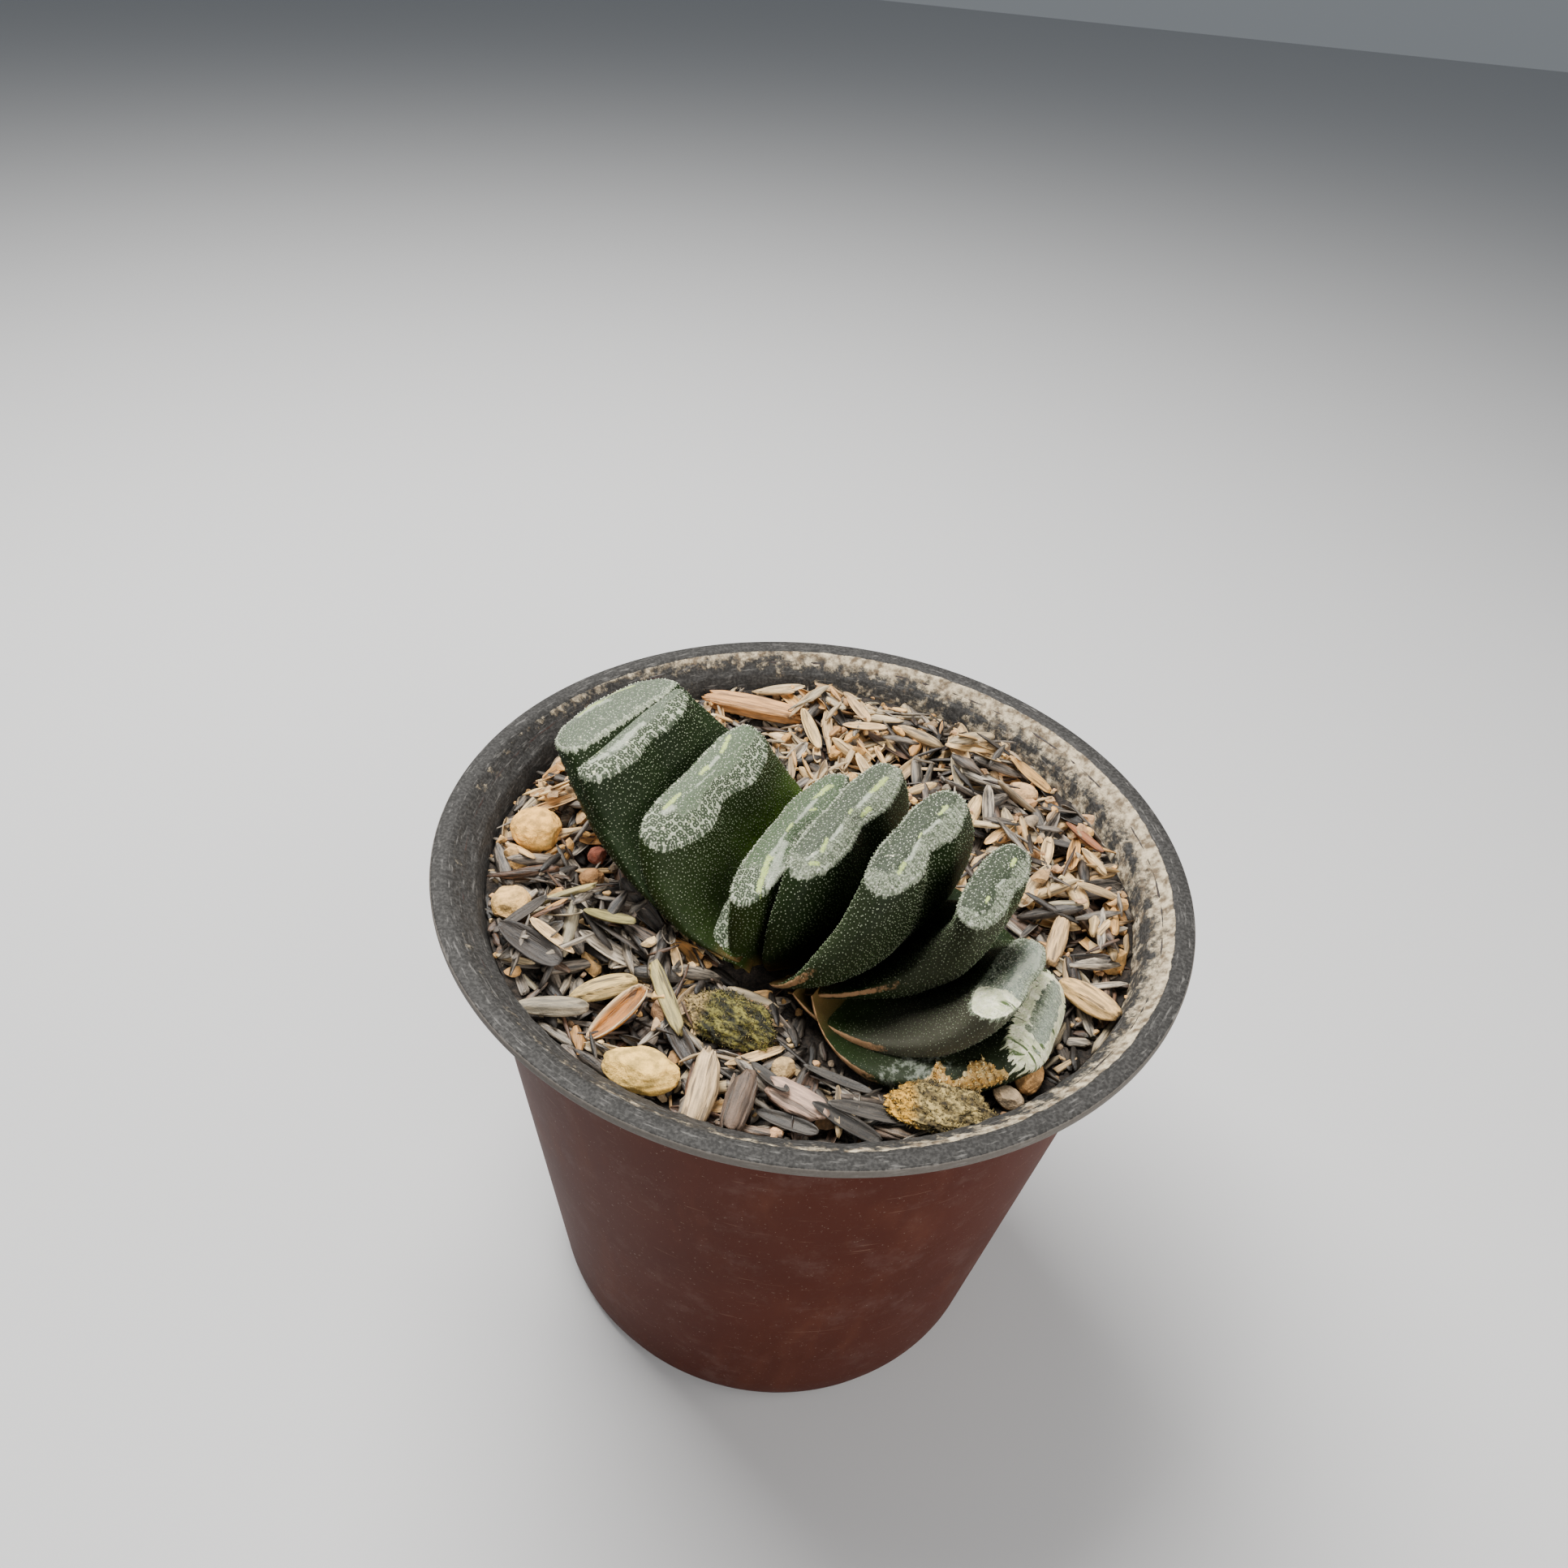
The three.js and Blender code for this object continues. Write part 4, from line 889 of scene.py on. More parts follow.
def fill_pot(ground, random, material_char, material_straw, material_gravel):
    """Drops the soil's pieces one after another, the small dark ones first."""
    char, straw, gravel = Heap(CHAR), Heap(STRAW), Heap(GRAVEL)
    edge = pot_inside()

    def husk_size(low, high):
        length = random.uniform(low, high)
        return length, length * random.uniform(0.17, 0.27), length * random.uniform(0.12, 0.19)

    def pebble_size(low, high):
        length = low + (high - low) * random.random() ** 2
        return length, length * random.uniform(0.5, 0.95), length * random.uniform(0.4, 0.75)

    def splinter_size(low, high):
        length = random.uniform(low, high)
        return length, 0.5 + 1.7 * random.random() ** 1.5, random.uniform(0.3, 0.65)

    def back_and_right(x, y):
        dim = 1 - 0.5 * math.exp(-(((math.degrees(math.atan2(y, x)) - 42) / 24) ** 2))
        return dim * (0.28 + 0.72 * float(step_between(-0.4, 0.5, (0.35 * x + y) / edge)))

    def front_and_left(x, y):
        return 1.2 - back_and_right(x, y)

    def strew(heap, count, kind, low, high, sink, wanted=None):
        shapes, size_of = kind
        for _ in range(count):
            radius, angle = edge * math.sqrt(random.random()), random.uniform(0, 2 * math.pi)
            x, y = radius * math.cos(angle), radius * math.sin(angle)
            if wanted is not None and random.random() > wanted(x, y):
                continue
            size = size_of(low, high)
            turn = random.uniform(0, 2 * math.pi)
            laid = ground.lay(size, x, y, turn, sink * size[2])
            if laid is None:
                continue
            rest, pitch, roll = laid
            spin = turned_matrix(turn, pitch + random.uniform(-0.12, 0.12), roll)
            if size_of is husk_size:
                spin = spin @ rolled(random.choice([0.0, math.pi]) + random.normal(0, 0.5))
            shape = shapes[random.integers(len(shapes))]
            heap.add(shape, np.array(size), spin, np.array([x, y, rest + size[2] * 0.5]),
                     pick_tint(heap.palette, random), random)

    husks = [husk_shape(random, broken=broken) for broken in [False] * 6 + [True] * 6], husk_size
    fine_husks = [husk_shape(random, 10, 6) for _ in range(8)], husk_size
    pebbles = [pebble_shape(random) for _ in range(14)], pebble_size
    splinters = [splinter_shape(random) for _ in range(14)], splinter_size
    strew(char, 1500, splinters, 2, 5, 0.4)
    strew(gravel, 500, pebbles, 0.8, 2.2, 0.3)
    strew(char, 760, husks, 5, 8.5, 0.3)
    strew(straw, 420, husks, 5, 9, 0.3)
    strew(char, 520, splinters, 3, 9, 0.3, front_and_left)
    strew(gravel, 560, pebbles, 1.2, 4.2, 0.3, back_and_right)
    strew(straw, 380, splinters, 2.5, 8, 0.3, back_and_right)
    strew(char, 680, fine_husks, 6.5, 10, 0.2, front_and_left)
    strew(straw, 380, fine_husks, 5.5, 9, 0.2, back_and_right)
    strew(gravel, 460, pebbles, 0.9, 3.4, 0.25, back_and_right)
    strew(char, 560, splinters, 3, 8.5, 0.2, front_and_left)
    strew(straw, 160, splinters, 2, 5, 0.2, back_and_right)
    for kind, place, size, turn, tint in LARGE_PIECES:
        shape = chip_shape(random, 16, 16) if kind == "chip" else husk_shape(random, 20, 10)
        turn = math.radians(turn)
        laid = ground.lay(size, *place, turn, 0.15 * size[2], 0.35)
        if laid is not None:
            spin = turned_matrix(turn, *laid[1:]) @ rolled(math.pi if kind == "shell" else 0.0)
            middle = np.array([*place, laid[0] + size[2] * 0.5])
            straw.add(shape, np.array(size), spin, middle, tint, random)
    seat(char.build("soil_charred_husks", material_char))
    seat(straw.build("soil_straw_husks", material_straw))
    seat(gravel.build("soil_gravel", material_gravel, False))


def rings(radius, height, angle):
    """Points of level rings, one ring of all the angles after another."""
    return np.stack(np.broadcast_arrays(radius * np.cos(angle), radius * np.sin(angle), height), -1)


def build_ground(material):
    """The fine dark soil under the loose pieces, down to the pot's floor."""
    sides = 180
    low = FLOOR_THICKNESS + CLEARANCE
    angle = circle(sides)
    profile = [(20, low), (wall_radius(6) - WALL_THICKNESS - 2, low)]
    profile += [(wall_radius(height) - WALL_THICKNESS - 0.2, height)
                for height in (6, 30, 60, SOIL_LEVEL - 0.6)]
    rows = [rings(radius, float(height), angle) for radius, height in profile]
    inner = wall_radius(SOIL_LEVEL + 1.2) - WALL_THICKNESS - 0.1
    for share in np.linspace(1, 0.01, 60):
        flat = rings(inner * share, 0.0, angle)
        height = soil_height(flat[:, 0], flat[:, 1]) - 1.4 + 0.35 * hashed_waves(flat, 0.8, 3, 3)
        rows.append(flat + height[:, None] * UP)
    points = np.concatenate(rows)
    faces = outward_facing(points, tube_faces(len(rows), sides))
    seat(make_mesh("soil_ground", points, faces, material), "soil")


def stand(xy, lift):
    """A place this far over the soil's own level."""
    return np.array([*xy, float(soil_height(*xy)) + lift])


def lone_piece(name, shape, size, angles, place, tint, material, random):
    """One loose piece that stands for a node; angles are its turn, pitch and roll in degrees."""
    turn, pitch, roll = (math.radians(angle) for angle in angles)
    spin = turned_matrix(turn, math.tan(pitch)) @ rolled(roll)
    heap = Heap()
    heap.add(shape, np.array(size), spin, place, tint, random)
    seat(heap.build(name + "_fine", material), name)


def build_stones(ground, material, random):
    for name, (xy, size, turn, tint) in STONES.items():
        points, faces = icosphere(4)
        lumps = 0.09 * hashed_waves(points, 0.9, len(name) * 7, 3)
        points = chipped(points * (0.52 * (1 + lumps))[:, None], random, 12, 0.40)
        grain = 1 + 0.035 * hashed_waves(points, 8, len(name), 3)
        grain = grain + 0.018 * hashed_waves(points, 24, len(name), 2)
        place = stand(xy, size[2] * 0.22)
        shape = points * grain[:, None], faces
        lone_piece(name, shape, size, (turn, 0, 0), place, tint, material, random)
        ground.cover(*xy, 0.42 * max(size[:2]), place[2])


def build_husks(ground, material, random):
    for name, (xy, (length, width), turn, lift, pitch, roll, tint) in HUSKS.items():
        place = stand(xy, lift)
        shape = husk_shape(random, 28, 14)
        brim = step_between(-0.02, 0.10, shape[0][:, 2]) * (abs(roll) < 90)
        lone_piece(name, shape, (length, width, width * 0.9), (turn, pitch, roll), place,
                   blend(tint, HUSK_BRIM, brim), material, random)
        ground.cover(*xy, 0.33 * length, place[2] - 0.5)


def build_chips(ground, material, random):
    for name, (xy, size, turn, lift, pitch, tint) in CHIPS.items():
        place = stand(xy, lift)
        shape = chip_shape(random)
        lone_piece(name, shape, size, (turn, pitch, 0), place, tint, material, random)
        ground.cover(*xy, 0.3 * size[0], place[2] - 0.5)


def build_clump(name, clump, material, ground, random, tufts, tints, end_tint):
    """A low ragged body of small lobes, with short fuzz on it and one end in a tint of its own."""
    xy, size, turn, lift = clump
    seed = len(name)
    points, faces = icosphere(5)
    lobes = 0.20 * hashed_waves(points, 1.3, seed, 3)
    lobes = lobes - 0.16 * np.abs(hashed_waves(points, 3.2, seed + 1, 2))
    lobes = lobes + 0.07 * hashed_waves(points, 11, 8, 3)
    points = points * (0.53 * (1 + lobes))[:, None]
    normals = point_normals(points, faces)
    # Patches of the first tint: on the moss, painted shade in the crevices between fronds; on the
    # bark flake, a darker tone.
    tone_and_crevice_shade = hashed_waves(points, 9.0, seed + 2, 3)
    tint = blend(tints[0], tints[1], step_between(-0.5, 0.3, tone_and_crevice_shade))
    end = points[:, 0] + 0.08 * hashed_waves(points, 5, 2, 2)
    tint = blend(tint, end_tint, step_between(-0.22, -0.34, end))
    heap = Heap()
    place = stand(xy, lift)
    spin = turned_matrix(math.radians(turn))
    heap.add((points, faces), np.array(size), spin, place, tint, random)
    for index in random.integers(len(points), size=tufts):
        way = unit(unit(spin @ (normals[index] / np.array(size))) + random.normal(0, 0.6, 3))
        side = 0.09 * unit(np.cross(way, random.normal(size=3)))
        root = spin @ (points[index] * size) + place
        blade = np.array([root - side, root + side, root + np.cross(way, side),
                          root + way * random.uniform(0.25, 0.7)])
        heap.put(blade, np.array([(0, 1, 3), (1, 2, 3), (2, 0, 3), (0, 2, 1)]),
                 pick_tint(tints, random), blade)
    seat(heap.build(name + "_fine", material), name)
    ground.cover(*xy, 0.36 * max(size[:2]), place[2])


# Pot

POT_SIDES = 288
DRAIN_SIDES = 40
# Where the lime crust is thickest, as a turn about the pot's axis.
CRUST_SIDE = math.radians(20)


def arc(centre, radius, start, end, count=5):
    angles = np.radians(np.linspace(start, end, count))
    return [(centre[0] + radius * math.cos(a), centre[1] + radius * math.sin(a)) for a in angles]


def build_pot(material):
    """The pot turned from its profile, with rounded edges, its crusted lip and its drain holes."""
    def wall(height, inwards=0.0):
        return float(wall_radius(height)) - inwards

    under = POT_HEIGHT - RIM_THICKNESS
    step_top = POT_HEIGHT - STEP_DEPTH
    step_foot = step_top - 0.6
    inner_top = POT_HEIGHT - LIP_DEPTH
    inner_foot = FLOOR_THICKNESS + 1.6
    r = EDGE_ROUND
    outer = [(0.0, 0.0), (15.0, 0.0), (28.0, 0.0), (FOOT_RADIUS - FOOT_BEVEL, 0.0),
             (FOOT_RADIUS - r, FOOT_BEVEL / 2), (wall(FOOT_BEVEL * 1.6), FOOT_BEVEL * 1.6)]
    outer += [(wall(h), h) for h in np.linspace(6, step_foot - 0.2, 24)]
    outer += [(wall(step_foot), step_foot), (wall(step_top) + STEP_WIDTH, step_top + 0.01),
              (wall(step_top + 1), step_top + 1), (wall(under - 0.6), under - 0.6),
              (wall(under) + 0.3, under)]
    rim = arc((RIM_RADIUS - r, under + r), r, -90, 0)
    rim += arc((RIM_RADIUS - r, POT_HEIGHT - r), r, 0, 90)
    rim += [(RIM_RADIUS - 1.2, POT_HEIGHT), (RIM_INNER_RADIUS + 0.3, POT_HEIGHT),
            (RIM_INNER_RADIUS - 0.05, POT_HEIGHT - 0.12)]
    lip_in = wall(inner_top, WALL_THICKNESS) - RIM_INNER_RADIUS
    lip = [(RIM_INNER_RADIUS + lip_in * s, POT_HEIGHT + (inner_top - POT_HEIGHT) * s)
           for s in np.linspace(0.12, 1, 12)]
    inner = [(wall(h, WALL_THICKNESS), h) for h in np.linspace(step_foot - 1, inner_foot, 10)]
    inner += [(wall(inner_foot, WALL_THICKNESS) - 1.4, FLOOR_THICKNESS), (0.0, FLOOR_THICKNESS)]
    profile = np.array(outer + rim + lip + inner)
    angle = circle(POT_SIDES)
    radius, height = (np.repeat(profile[:, k][:, None], POT_SIDES, 1) for k in (0, 1))
    top, first, last = np.cumsum([len(outer), len(rim), len(lip)])
    crust = hashed_waves(rings(radius, height, angle).reshape(-1, 3), 1.6, 9, 3)
    rows, flange, wear = np.zeros((3, len(profile)))
    rows[first:last + 2] = 1
    radius = radius - rows[:, None] * np.clip(0.12 + 0.16 * crust.reshape(radius.shape), 0, 0.4)
    points = rings(radius, height, angle).reshape(-1, 3)
    rows[first:last] = np.linspace(1.2, 0.72, last - first)
    rows[last:last + 4] = 0.95
    # The grey of the rim, from its underside over the lip and on down the inner wall to the soil,
    # where it is painted shade under the lip.
    flange[top - 1:last + 4] = 1
    # Lighter rubbed edges of the rim and of the step: wear, and a painted highlight along them.
    wear[top + 3:top + 8] = 1
    wear[top - 5:top - 3] = 0.6
    crusted = rows[:, None] * (0.55 + 0.17 * np.cos(angle - CRUST_SIDE))
    band = np.broadcast_arrays(1.6 * (radius + height), 12 * np.cos(angle), 12 * np.sin(angle))
    faces = outward_facing(points, ring_faces(len(profile), POT_SIDES))
    piece = make_mesh("pot_fine", points, faces, material,
                      values=dict(flange=np.repeat(flange, POT_SIDES),
                                  wear=np.repeat(wear, POT_SIDES), crust=crusted),
                      vectors={"band": np.stack(band, 2)})
    cut_drain_holes(piece)
    seat(piece, "pot")


def cut_drain_holes(piece):
    angle = circle(DRAIN_SIDES)
    points, faces = [], []
    for turn in circle(DRAIN_HOLES):
        middle = np.array([math.cos(turn), math.sin(turn), 0]) * DRAIN_CIRCLE_RADIUS
        faces.append(tube_faces(2, DRAIN_SIDES) + DRAIN_SIDES * len(points))
        for height in (-2.0, FLOOR_THICKNESS * 2):
            points.append(middle + rings(DRAIN_HOLE_RADIUS, height, angle))
    points = np.concatenate(points)
    faces = outward_facing(points, np.concatenate(faces))
    cutter = make_mesh("drain_cutter", points, faces, piece.data.materials[0])
    cut = piece.modifiers.new("drain", "BOOLEAN")
    cut.operation = "DIFFERENCE"
    cut.object = cutter
    cut.solver = "EXACT"
    with bpy.context.temp_override(object=piece, active_object=piece, selected_objects=[piece]):
        bpy.ops.object.modifier_apply(modifier=cut.name)
    bpy.data.objects.remove(cutter)


# Materials

class Wire:
    """A node's outlet in a material. Reckoning with it adds nodes."""

    def __init__(self, paint, socket):
        self.paint, self.socket = paint, socket

    def __add__(self, other):
        return self.paint.math("ADD", self, other)

    def __sub__(self, other):
        return self.paint.math("SUBTRACT", self, other)

    def __rsub__(self, other):
        return self.paint.math("SUBTRACT", other, self)

    def __mul__(self, other):
        return self.paint.math("MULTIPLY", self, other)

    def between(self, low, high, first=0.0, last=1.0):
        """The value's way from low to high, eased, as a number from first to last."""
        inputs = {"Value": self, "From Min": low, "From Max": high, "To Min": first, "To Max": last}
        return self.paint.node("ShaderNodeMapRange", "Result", inputs,
                               interpolation_type="SMOOTHSTEP")


class Paint:
    """A material's nodes, written one after another."""

    def __init__(self, name, **sockets):
        self.material = bpy.data.materials.new(name)
        self.material.use_nodes = True
        self.tree = self.material.node_tree
        self.set(**sockets)

    def set(self, **sockets):
        for key, value in sockets.items():
            self.put(self.tree.nodes["Principled BSDF"].inputs[key.replace("_", " ")], value)

    def put(self, socket, value):
        if isinstance(value, Wire):
            self.tree.links.new(value.socket, socket)
        else:
            socket.default_value = (*value, 1) if socket.type == "RGBA" else value

    def node(self, kind, outlet, inputs, **settings):
        """Adds a node, and gives one of its outlets."""
        made = self.tree.nodes.new(kind)
        for key, value in settings.items():
            setattr(made, key, value)
        for key, value in inputs.items():
            self.put(made.inputs[key], value)
        return Wire(self, made.outputs[outlet])

    def math(self, operation, a, b):
        return self.node("ShaderNodeMath", 0, {0: a, 1: b}, operation=operation)

    def value(self, name, outlet="Fac"):
        return self.node("ShaderNodeAttribute", outlet, {}, attribute_name=name)

    def stretched(self, vector, stretch):
        return self.node("ShaderNodeVectorMath", 0, {0: vector, 1: stretch}, operation="MULTIPLY")

    def own(self, name="own", stretch=(1, 1, 1)):
        return self.stretched(self.value(name, "Vector"), stretch)

    def place(self, stretch=(1, 1, 1)):
        """The point's place in the part, in millimetres."""
        place = self.node("ShaderNodeTexCoord", "Object", {})
        return self.stretched(place, tuple(s / MM for s in stretch))

    def noise(self, vector, scale, detail=3.0, roughness=0.6):
        inputs = {"Vector": vector, "Scale": scale, "Detail": detail, "Roughness": roughness}
        return self.node("ShaderNodeTexNoise", "Fac", inputs)

    def cell(self, vector, scale, randomness=1.0):
        inputs = {"Vector": vector, "Scale": scale, "Randomness": randomness}
        return self.node("ShaderNodeTexVoronoi", "Distance", inputs, voronoi_dimensions="2D")

    def mix(self, share, a, b, blend="MIX"):
        """A colour on the way from a to b."""
        return self.node("ShaderNodeMix", 2, {"Factor": share, 6: a, 7: b}, data_type="RGBA",
                         blend_type=blend)

    def bump(self, height, strength, distance):
        inputs = {"Height": height, "Strength": strength, "Distance": distance * MM}
        self.set(Normal=self.node("ShaderNodeBump", "Normal", inputs))


def leaf_paint():
    """Bottle-green skin with pale warts, and a smoky window with a frosted border and markings."""
    paint = Paint("haworthia_leaf", IOR=1.38, Specular_IOR_Level=0.22, Subsurface_Weight=0.10,
                  Subsurface_Scale=0.0012, Subsurface_Radius=(0.35, 1.0, 0.25))
    mix, value, noise = paint.mix, paint.value, paint.noise
    at, round_it, flat = paint.place(), paint.own("comb"), paint.own("flat")
    fine, specks, grit = noise(at, 1.6), noise(at, 7.0, 2), noise(at, 3.4)
    comb = noise(round_it, 1.5, 2)
    rim, fresh, gloom, net = value("rim"), value("fresh"), value("gloom"), value("net")

    skin = mix(noise(at, 0.16, 2), (0.0045, 0.011, 0.002), (0.012, 0.023, 0.0055))
    skin = mix(fresh * 0.4, skin, (0.050, 0.080, 0.010))
    skin = mix(value("glow") * 0.85, skin, (0.060, 0.125, 0.008))
    skin = mix(value("dusk") * 0.6, skin, (0.085, 0.078, 0.060))
    skin = mix(value("reach").between(0.24, 0.0, 0.0, 0.75), skin, (0.16, 0.095, 0.030))
    skin = mix(specks.between(0.55, 0.75, 0.0, 0.12), skin, (0.12, 0.14, 0.075))
    tip = value("tip").between(0.12, 0.6) * 0.85
    skin = mix(tip, skin, mix(rim.between(-9.0, -0.4), (0.17, 0.20, 0.125), (0.28, 0.33, 0.22)))

    wander = (fine - 0.5) * 1.4
    blotches = (noise(at, 0.9, 4, 0.65) - 0.5) * 2.2
    frost = (value("frost") + (wander + blotches * 0.4)).between(0.1, 0.9)
    glass = mix(fine, (0.070, 0.092, 0.062), (0.135, 0.158, 0.112))
    glass = mix(gloom, glass, mix(fine, (0.018, 0.026, 0.014), (0.050, 0.062, 0.038)))
    glass = mix(fresh * 0.7, glass, (0.075, 0.135, 0.050))
    lattice = paint.cell(flat, 1.5, 0.5)
    hole = lattice.between(0.54, 0.42) * lattice.between(0.06, 0.16)
    clump = (noise(round_it, 3.2, 2) + grit).between(0.86, 1.14)
    speckled = mix(clump, (0.095, 0.12, 0.074), (0.42, 0.46, 0.335))
    dim = mix(clump, (0.038, 0.050, 0.031), (0.235, 0.265, 0.19))
    speckled = mix(gloom * 0.85, speckled, dim)
    speckled = mix(net * 0.5, speckled, (0.46, 0.50, 0.37))
    speckled = mix(hole * (net * 1.4 + 0.1), speckled, (0.040, 0.053, 0.031))
    speckled = mix(lattice.between(0.15, 0.07, 0.0, 0.8), speckled, (0.48, 0.52, 0.39))
    window = mix(frost * 0.92, glass, speckled)
    # Painted light: a lighter window where the lamps leave it in shade.
    window = mix(value("bright"), window, (0.36, 0.42, 0.38))

    rough = blotches * 0.8 + (grit * 0.9 - 0.45)
    window = mix((value("pale") + rough).between(0.3, 0.95) * 0.65, window, (0.50, 0.54, 0.43))
    lime = (value("lime") + rough).between(0.36, 0.85)
    window = mix(lime, window, mix(fine, (0.22, 0.30, 0.06), (0.60, 0.72, 0.26)))
    grains = paint.cell(flat, 2.1).between(0.26, 0.16) * net.between(0.5, 0.0)
    window = mix(grains * specks.between(0.45, 0.6), window, (0.52, 0.55, 0.43))
    torn = wander + (comb - 0.5) * 1.6 + blotches * 0.5
    cork = (value("cork") + torn).between(0.45, 0.62)
    cream = mix(blotches.between(-0.3, 0.4), (0.56, 0.59, 0.36), (0.93, 0.91, 0.68))
    cream = mix(noise(round_it, 0.8, 2).between(0.59, 0.65), cream, (0.09, 0.13, 0.05))
    window = mix(tip, mix(cork, window, cream), (0.50, 0.54, 0.41))

    silver = (value("silver") + blotches * 0.9).between(0.9, 1.3)
    skin = mix(silver * 0.6, skin, (0.30, 0.33, 0.27))
    teeth = (comb - 0.5) * (value("ragged") * 3.4 + 1.8) + (lattice - 0.4) * 0.6
    inside = (rim + teeth).between(-0.55, -0.30)
    colour = mix(inside, skin, window)
    dry = (value("dry") + wander * 0.45).between(0.35, 0.6)
    colour = mix(dry, colour, (0.30, 0.17, 0.085))
    scab = (value("scab") + wander * 0.45).between(0.3, 0.5)
    crusted = mix(blotches.between(-0.4, 0.5), (0.44, 0.22, 0.035), (0.80, 0.60, 0.25))
    crusted = mix(specks.between(0.6, 0.4, 0.0, 0.5), crusted, (0.22, 0.12, 0.05))
    clear = inside * (1.0 - frost)
    paint.set(Base_Color=mix(scab, colour, crusted), Roughness=clear.between(0.0, 1.0, 0.56, 0.44))
    paint.bump(fine + specks * 0.4 - hole * inside * 0.8, 0.5, 0.2)
    return paint.material


def loose_paint(name, stretch, dark, light, roughness, relief, cracks=0.0):
    """Loose pieces, each in its own tint, with streaks and dark cracks along its length."""
    paint = Paint(name, Roughness=roughness)
    streaks = paint.noise(paint.own(stretch=stretch), 1.6, 4)
    grain = paint.noise(paint.own(), 5.0)
    # Streaks from dark to light along each piece; on the charred husks the light streaks, at twice
    # their tint, are painted sheen.
    shade = paint.mix(streaks.between(0.34, 0.66), (dark,) * 3, (light, light * 0.95, light * 0.88))
    colour = paint.mix(1.0, paint.value("tint", "Color"), shade, "MULTIPLY")
    colour = paint.mix(grain.between(0.55, 0.8, 0.0, 0.16), colour, (0.40, 0.32, 0.22))
    crack = paint.noise(paint.own(stretch=(0.12, 1.5, 1.5)), 1.0, 2)
    crack = crack.between(0.58, 0.64, 0.0, cracks)
    paint.set(Base_Color=paint.mix(crack, colour, (0.035, 0.027, 0.020)))
    paint.bump(streaks + grain * 0.5 - crack, 0.5, relief)
    return paint.material


def ground_paint():
    paint = Paint("fine_dark_soil", Roughness=0.95)
    crumbs = paint.noise(paint.place(), 1.2, 5, 0.7)
    paint.set(Base_Color=paint.mix(crumbs.between(0.35, 0.75), (0.010, 0.008, 0.007),
                                   (0.075, 0.055, 0.040)))
    paint.bump(crumbs, 0.8, 0.8)
    return paint.material


def pot_paint():
    """Thin dark plastic: a red-brown wall, a grey rim and a cream crust inside the lip.

    The rim's rubbed edges are lighter, with wear and a painted highlight. The rim's grey runs on
    down the inner wall to the soil as painted shade under the lip.
    """
    paint = Paint("nursery_pot_plastic", IOR=1.40, Specular_IOR_Level=0.10)
    mix, value, noise, at = paint.mix, paint.value, paint.noise, paint.place()
    smear = noise(paint.place((0.10, 0.10, 0.03)), 1.0, 5, 0.65)
    specks = noise(at, 2.4, 2)
    dust = noise(at, 0.12, 5, 0.75)
    scratches = noise(paint.place((0.14, 0.14, 2.6)), 1.0)
    wall = mix(noise(at, 0.05), (0.048, 0.0094, 0.0045), (0.080, 0.0195, 0.0105))
    wall = mix(dust.between(0.50, 0.72, 0.0, 0.25), wall, (0.15, 0.095, 0.080))
    wall = mix(smear.between(0.50, 0.8, 0.0, 0.25), wall, (0.19, 0.075, 0.045))
    wall = mix(specks.between(0.66, 0.74, 0.0, 0.4), wall, (0.32, 0.25, 0.20))
    wall = mix(scratches.between(0.66, 0.72, 0.0, 0.3), wall, (0.24, 0.14, 0.10))
    rim = mix(specks.between(0.35, 0.7), (0.027, 0.026, 0.025), (0.056, 0.054, 0.052))
    scuffs = noise(paint.own("band"), 1.5, 4)
    rim = mix(scuffs.between(0.56, 0.72, 0.0, 0.4), rim, (0.26, 0.25, 0.235))
    # The grey rim, with painted shade of the same grey on the inner wall under the lip.
    colour = mix(value("flange"), wall, rim)
    # Rubbed edges made lighter: wear, and a painted highlight.
    worn_and_highlit = (value("wear") + specks * 0.9).between(0.95, 1.25)
    colour = mix(worn_and_highlit * 0.4, colour, (0.26, 0.23, 0.20))
    crust = (value("crust") + noise(at, 0.45, 5, 0.75)).between(1.0, 1.22)
    lime = mix(noise(at, 0.8, 5).between(0.34, 0.66), (0.17, 0.125, 0.080), (0.74, 0.62, 0.43))
    paint.set(Base_Color=mix(crust * 0.85, colour, lime),
              Roughness=(crust + smear * 0.5).between(0.1, 1.0, 0.52, 0.82))
    paint.bump(crust * specks + smear * 0.2, 0.35, 0.4)
    return paint.material


def root_paint():
    paint = Paint("stem_and_roots", Roughness=0.7)
    paint.set(Base_Color=paint.mix(paint.noise(paint.place(), 0.8, 4), (0.16, 0.095, 0.05),
                                   (0.38, 0.27, 0.16)))
    return paint.material


# Stage

def build_stage():
    side = 1500
    corners = [(-side, -side, 0), (side, -side, 0), (side, side, 0), (-side, side, 0)]
    pale = Paint("pale_floor", Base_Color=(0.56, 0.56, 0.57), Roughness=0.8).material
    make_mesh("floor", corners, [(0, 1, 2), (0, 2, 3)], pale)
    world = bpy.data.worlds.new("soft_daylight")
    bpy.context.scene.world = world
    world.use_nodes = True
    daylight = world.node_tree.nodes["Background"].inputs
    daylight["Color"].default_value = (0.86, 0.93, 1.0, 1)
    daylight["Strength"].default_value = 0.22
    soft_light("sky_light", (-150, 170, 520), 330, 7.6, (1.0, 0.985, 0.95))
    soft_light("front_light", (240, -420, 330), 300, 2.0, (1.0, 0.97, 0.93))
    soft_light("side_light", (420, -60, 300), 220, 0.8, (1.0, 0.96, 0.9))


def soft_light(name, place, size, power, colour):
    light = bpy.data.lights.new(name, "AREA")
    light.size = size * MM
    light.energy = power
    light.color = colour
    lamp = link_object(name, light)
    lamp.location = Vector(place) * MM
    aim = Vector((0, 0, POT_HEIGHT)) * MM - lamp.location
    lamp.rotation_euler = aim.to_track_quat("-Z", "Y").to_euler()


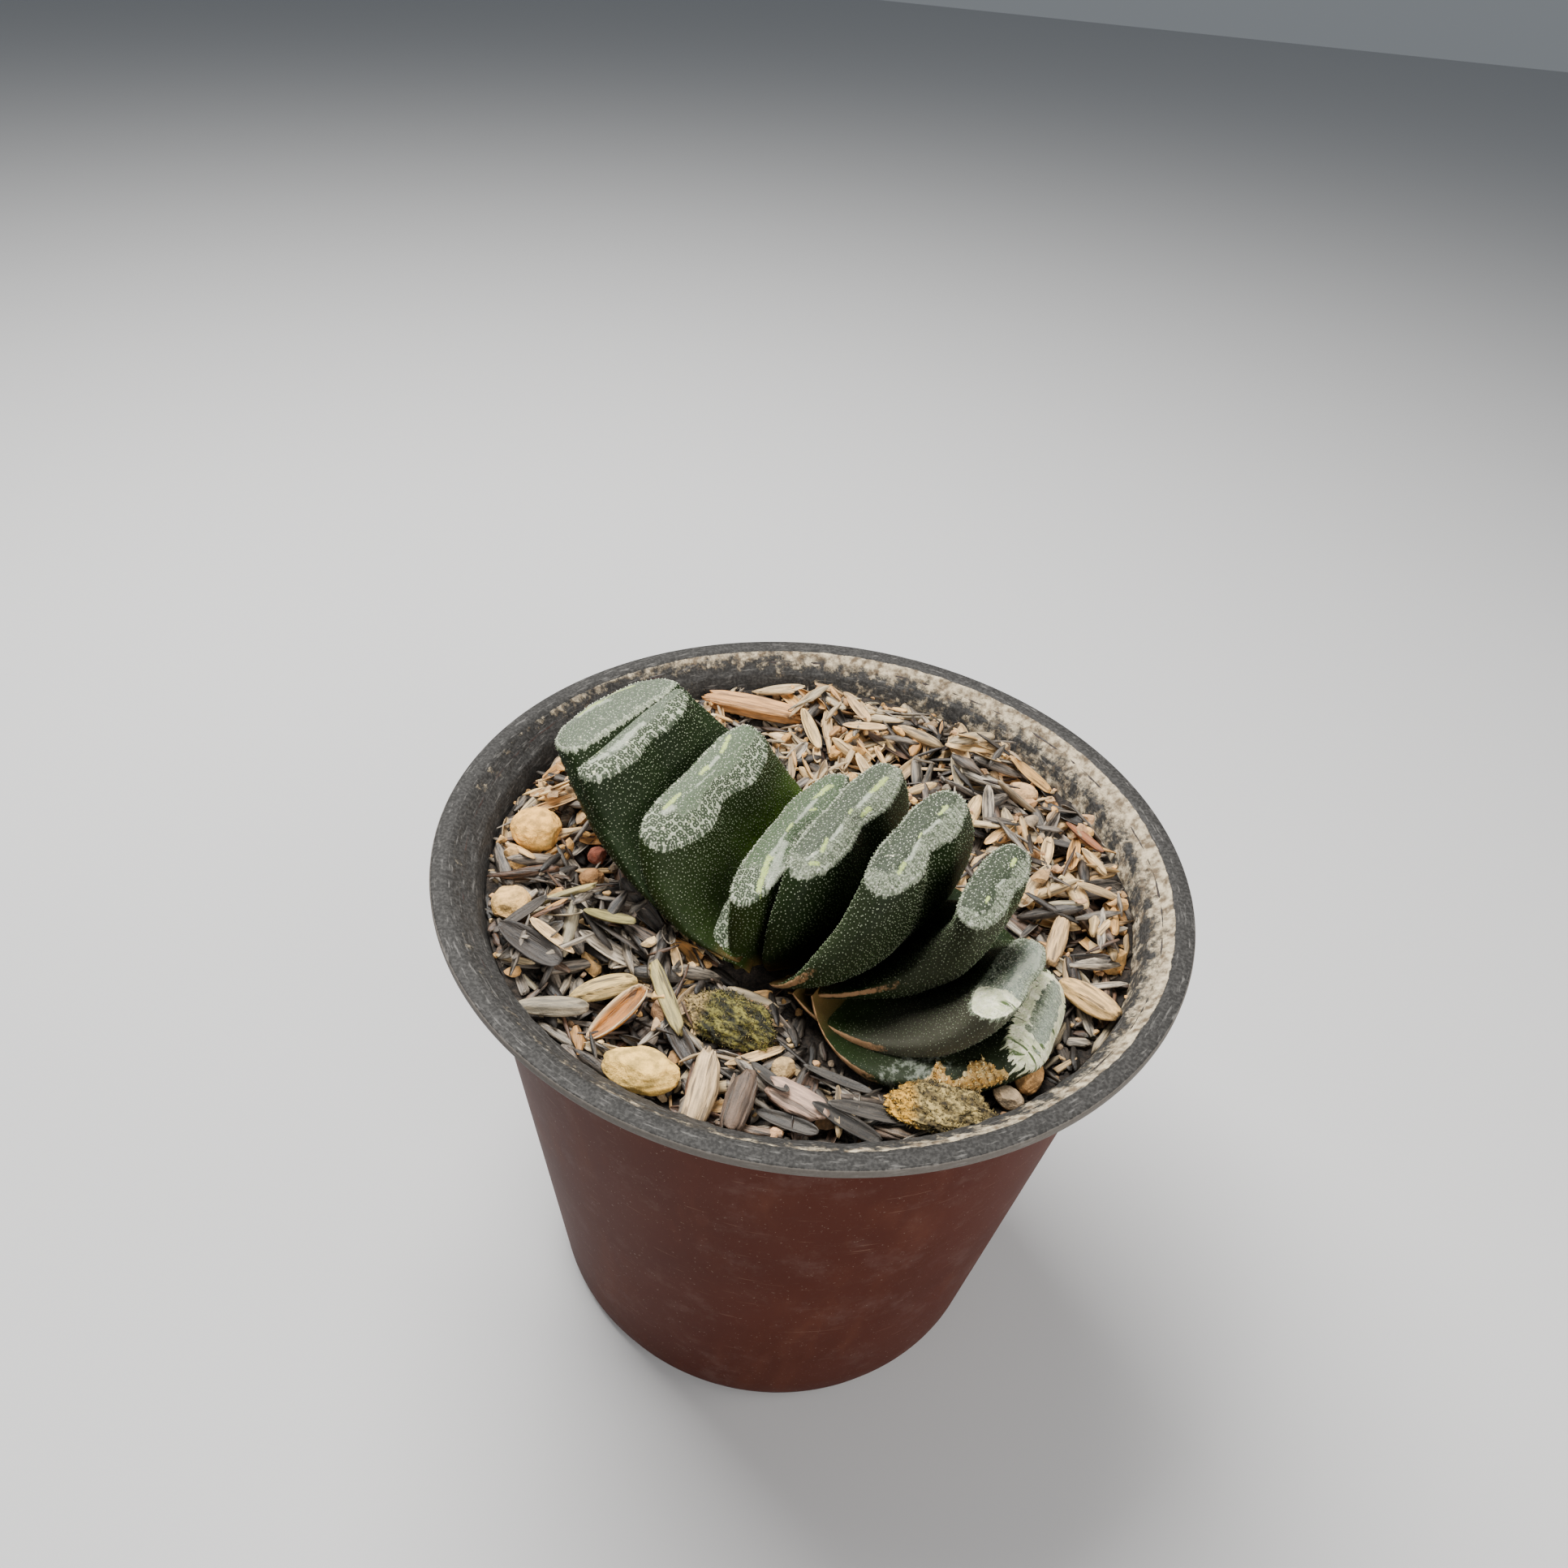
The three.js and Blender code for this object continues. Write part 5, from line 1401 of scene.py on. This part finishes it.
def build_camera():
    tilt_c, tilt_s = math.cos(CAMERA_TILT), math.sin(CAMERA_TILT)
    roll_c, roll_s = math.cos(CAMERA_ROLL), math.sin(CAMERA_ROLL)
    forward, down = Vector((0, tilt_c, -tilt_s)), Vector((0, -tilt_s, -tilt_c))
    right = Vector((1, 0, 0))
    right, down = right * roll_c - down * roll_s, right * roll_s + down * roll_c
    lens = bpy.data.cameras.new("camera")
    lens.sensor_width = SENSOR
    lens.lens = SENSOR * PHOTO_FOCAL_PIXELS / PHOTO_SIDE
    lens.clip_start = 0.005
    camera = link_object("camera", lens)
    turn = Matrix((right, -down, -forward)).transposed().to_4x4()
    camera.matrix_world = Matrix.Translation(Vector(CAMERA_PLACE) * MM) @ turn
    bpy.context.scene.camera = camera


# Assembly

def build_all():
    random = np.random.default_rng(SEED)
    leaf_material = leaf_paint()
    # The charred husks' light streaks, at twice their tint, are painted sheen along their ridges.
    char_paint = loose_paint("charred_husk", (0.2, 1.7, 1.7), 0.18, 2.0, 0.5, 0.3)
    straw_paint = loose_paint("straw_husk", (0.2, 1.7, 1.7), 0.50, 1.18, 0.6, 0.3, 0.7)
    stone_paint = loose_paint("tan_stone", (0.45, 0.45, 0.45), 0.55, 1.28, 0.85, 0.8)
    moss_paint = loose_paint("moss", (1.3, 1.3, 1.3), 0.15, 1.25, 0.9, 0.4)
    clouds = [build_leaf(leaf, leaf_material, random) for leaf in LEAVES]
    build_crust(clouds[-1], straw_paint, random)
    ground = Ground([cloud[0] for cloud in clouds])
    build_pot(pot_paint())
    build_ground(ground_paint())
    build_stones(ground, stone_paint, random)
    build_husks(ground, straw_paint, random)
    build_chips(ground, straw_paint, random)
    build_clump("moss_clump", MOSS, moss_paint, ground, random, 1500, MOSS_TINTS, MOSS_END)
    build_clump("bark_flake", BARK, moss_paint, ground, random, 900, BARK_TINTS, BARK_END)
    fill_pot(ground, random, char_paint, straw_paint, stone_paint)
    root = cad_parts["stem_and_roots"]
    root.data.materials.clear()
    root.data.materials.append(root_paint())


build_all()
build_stage()
build_camera()
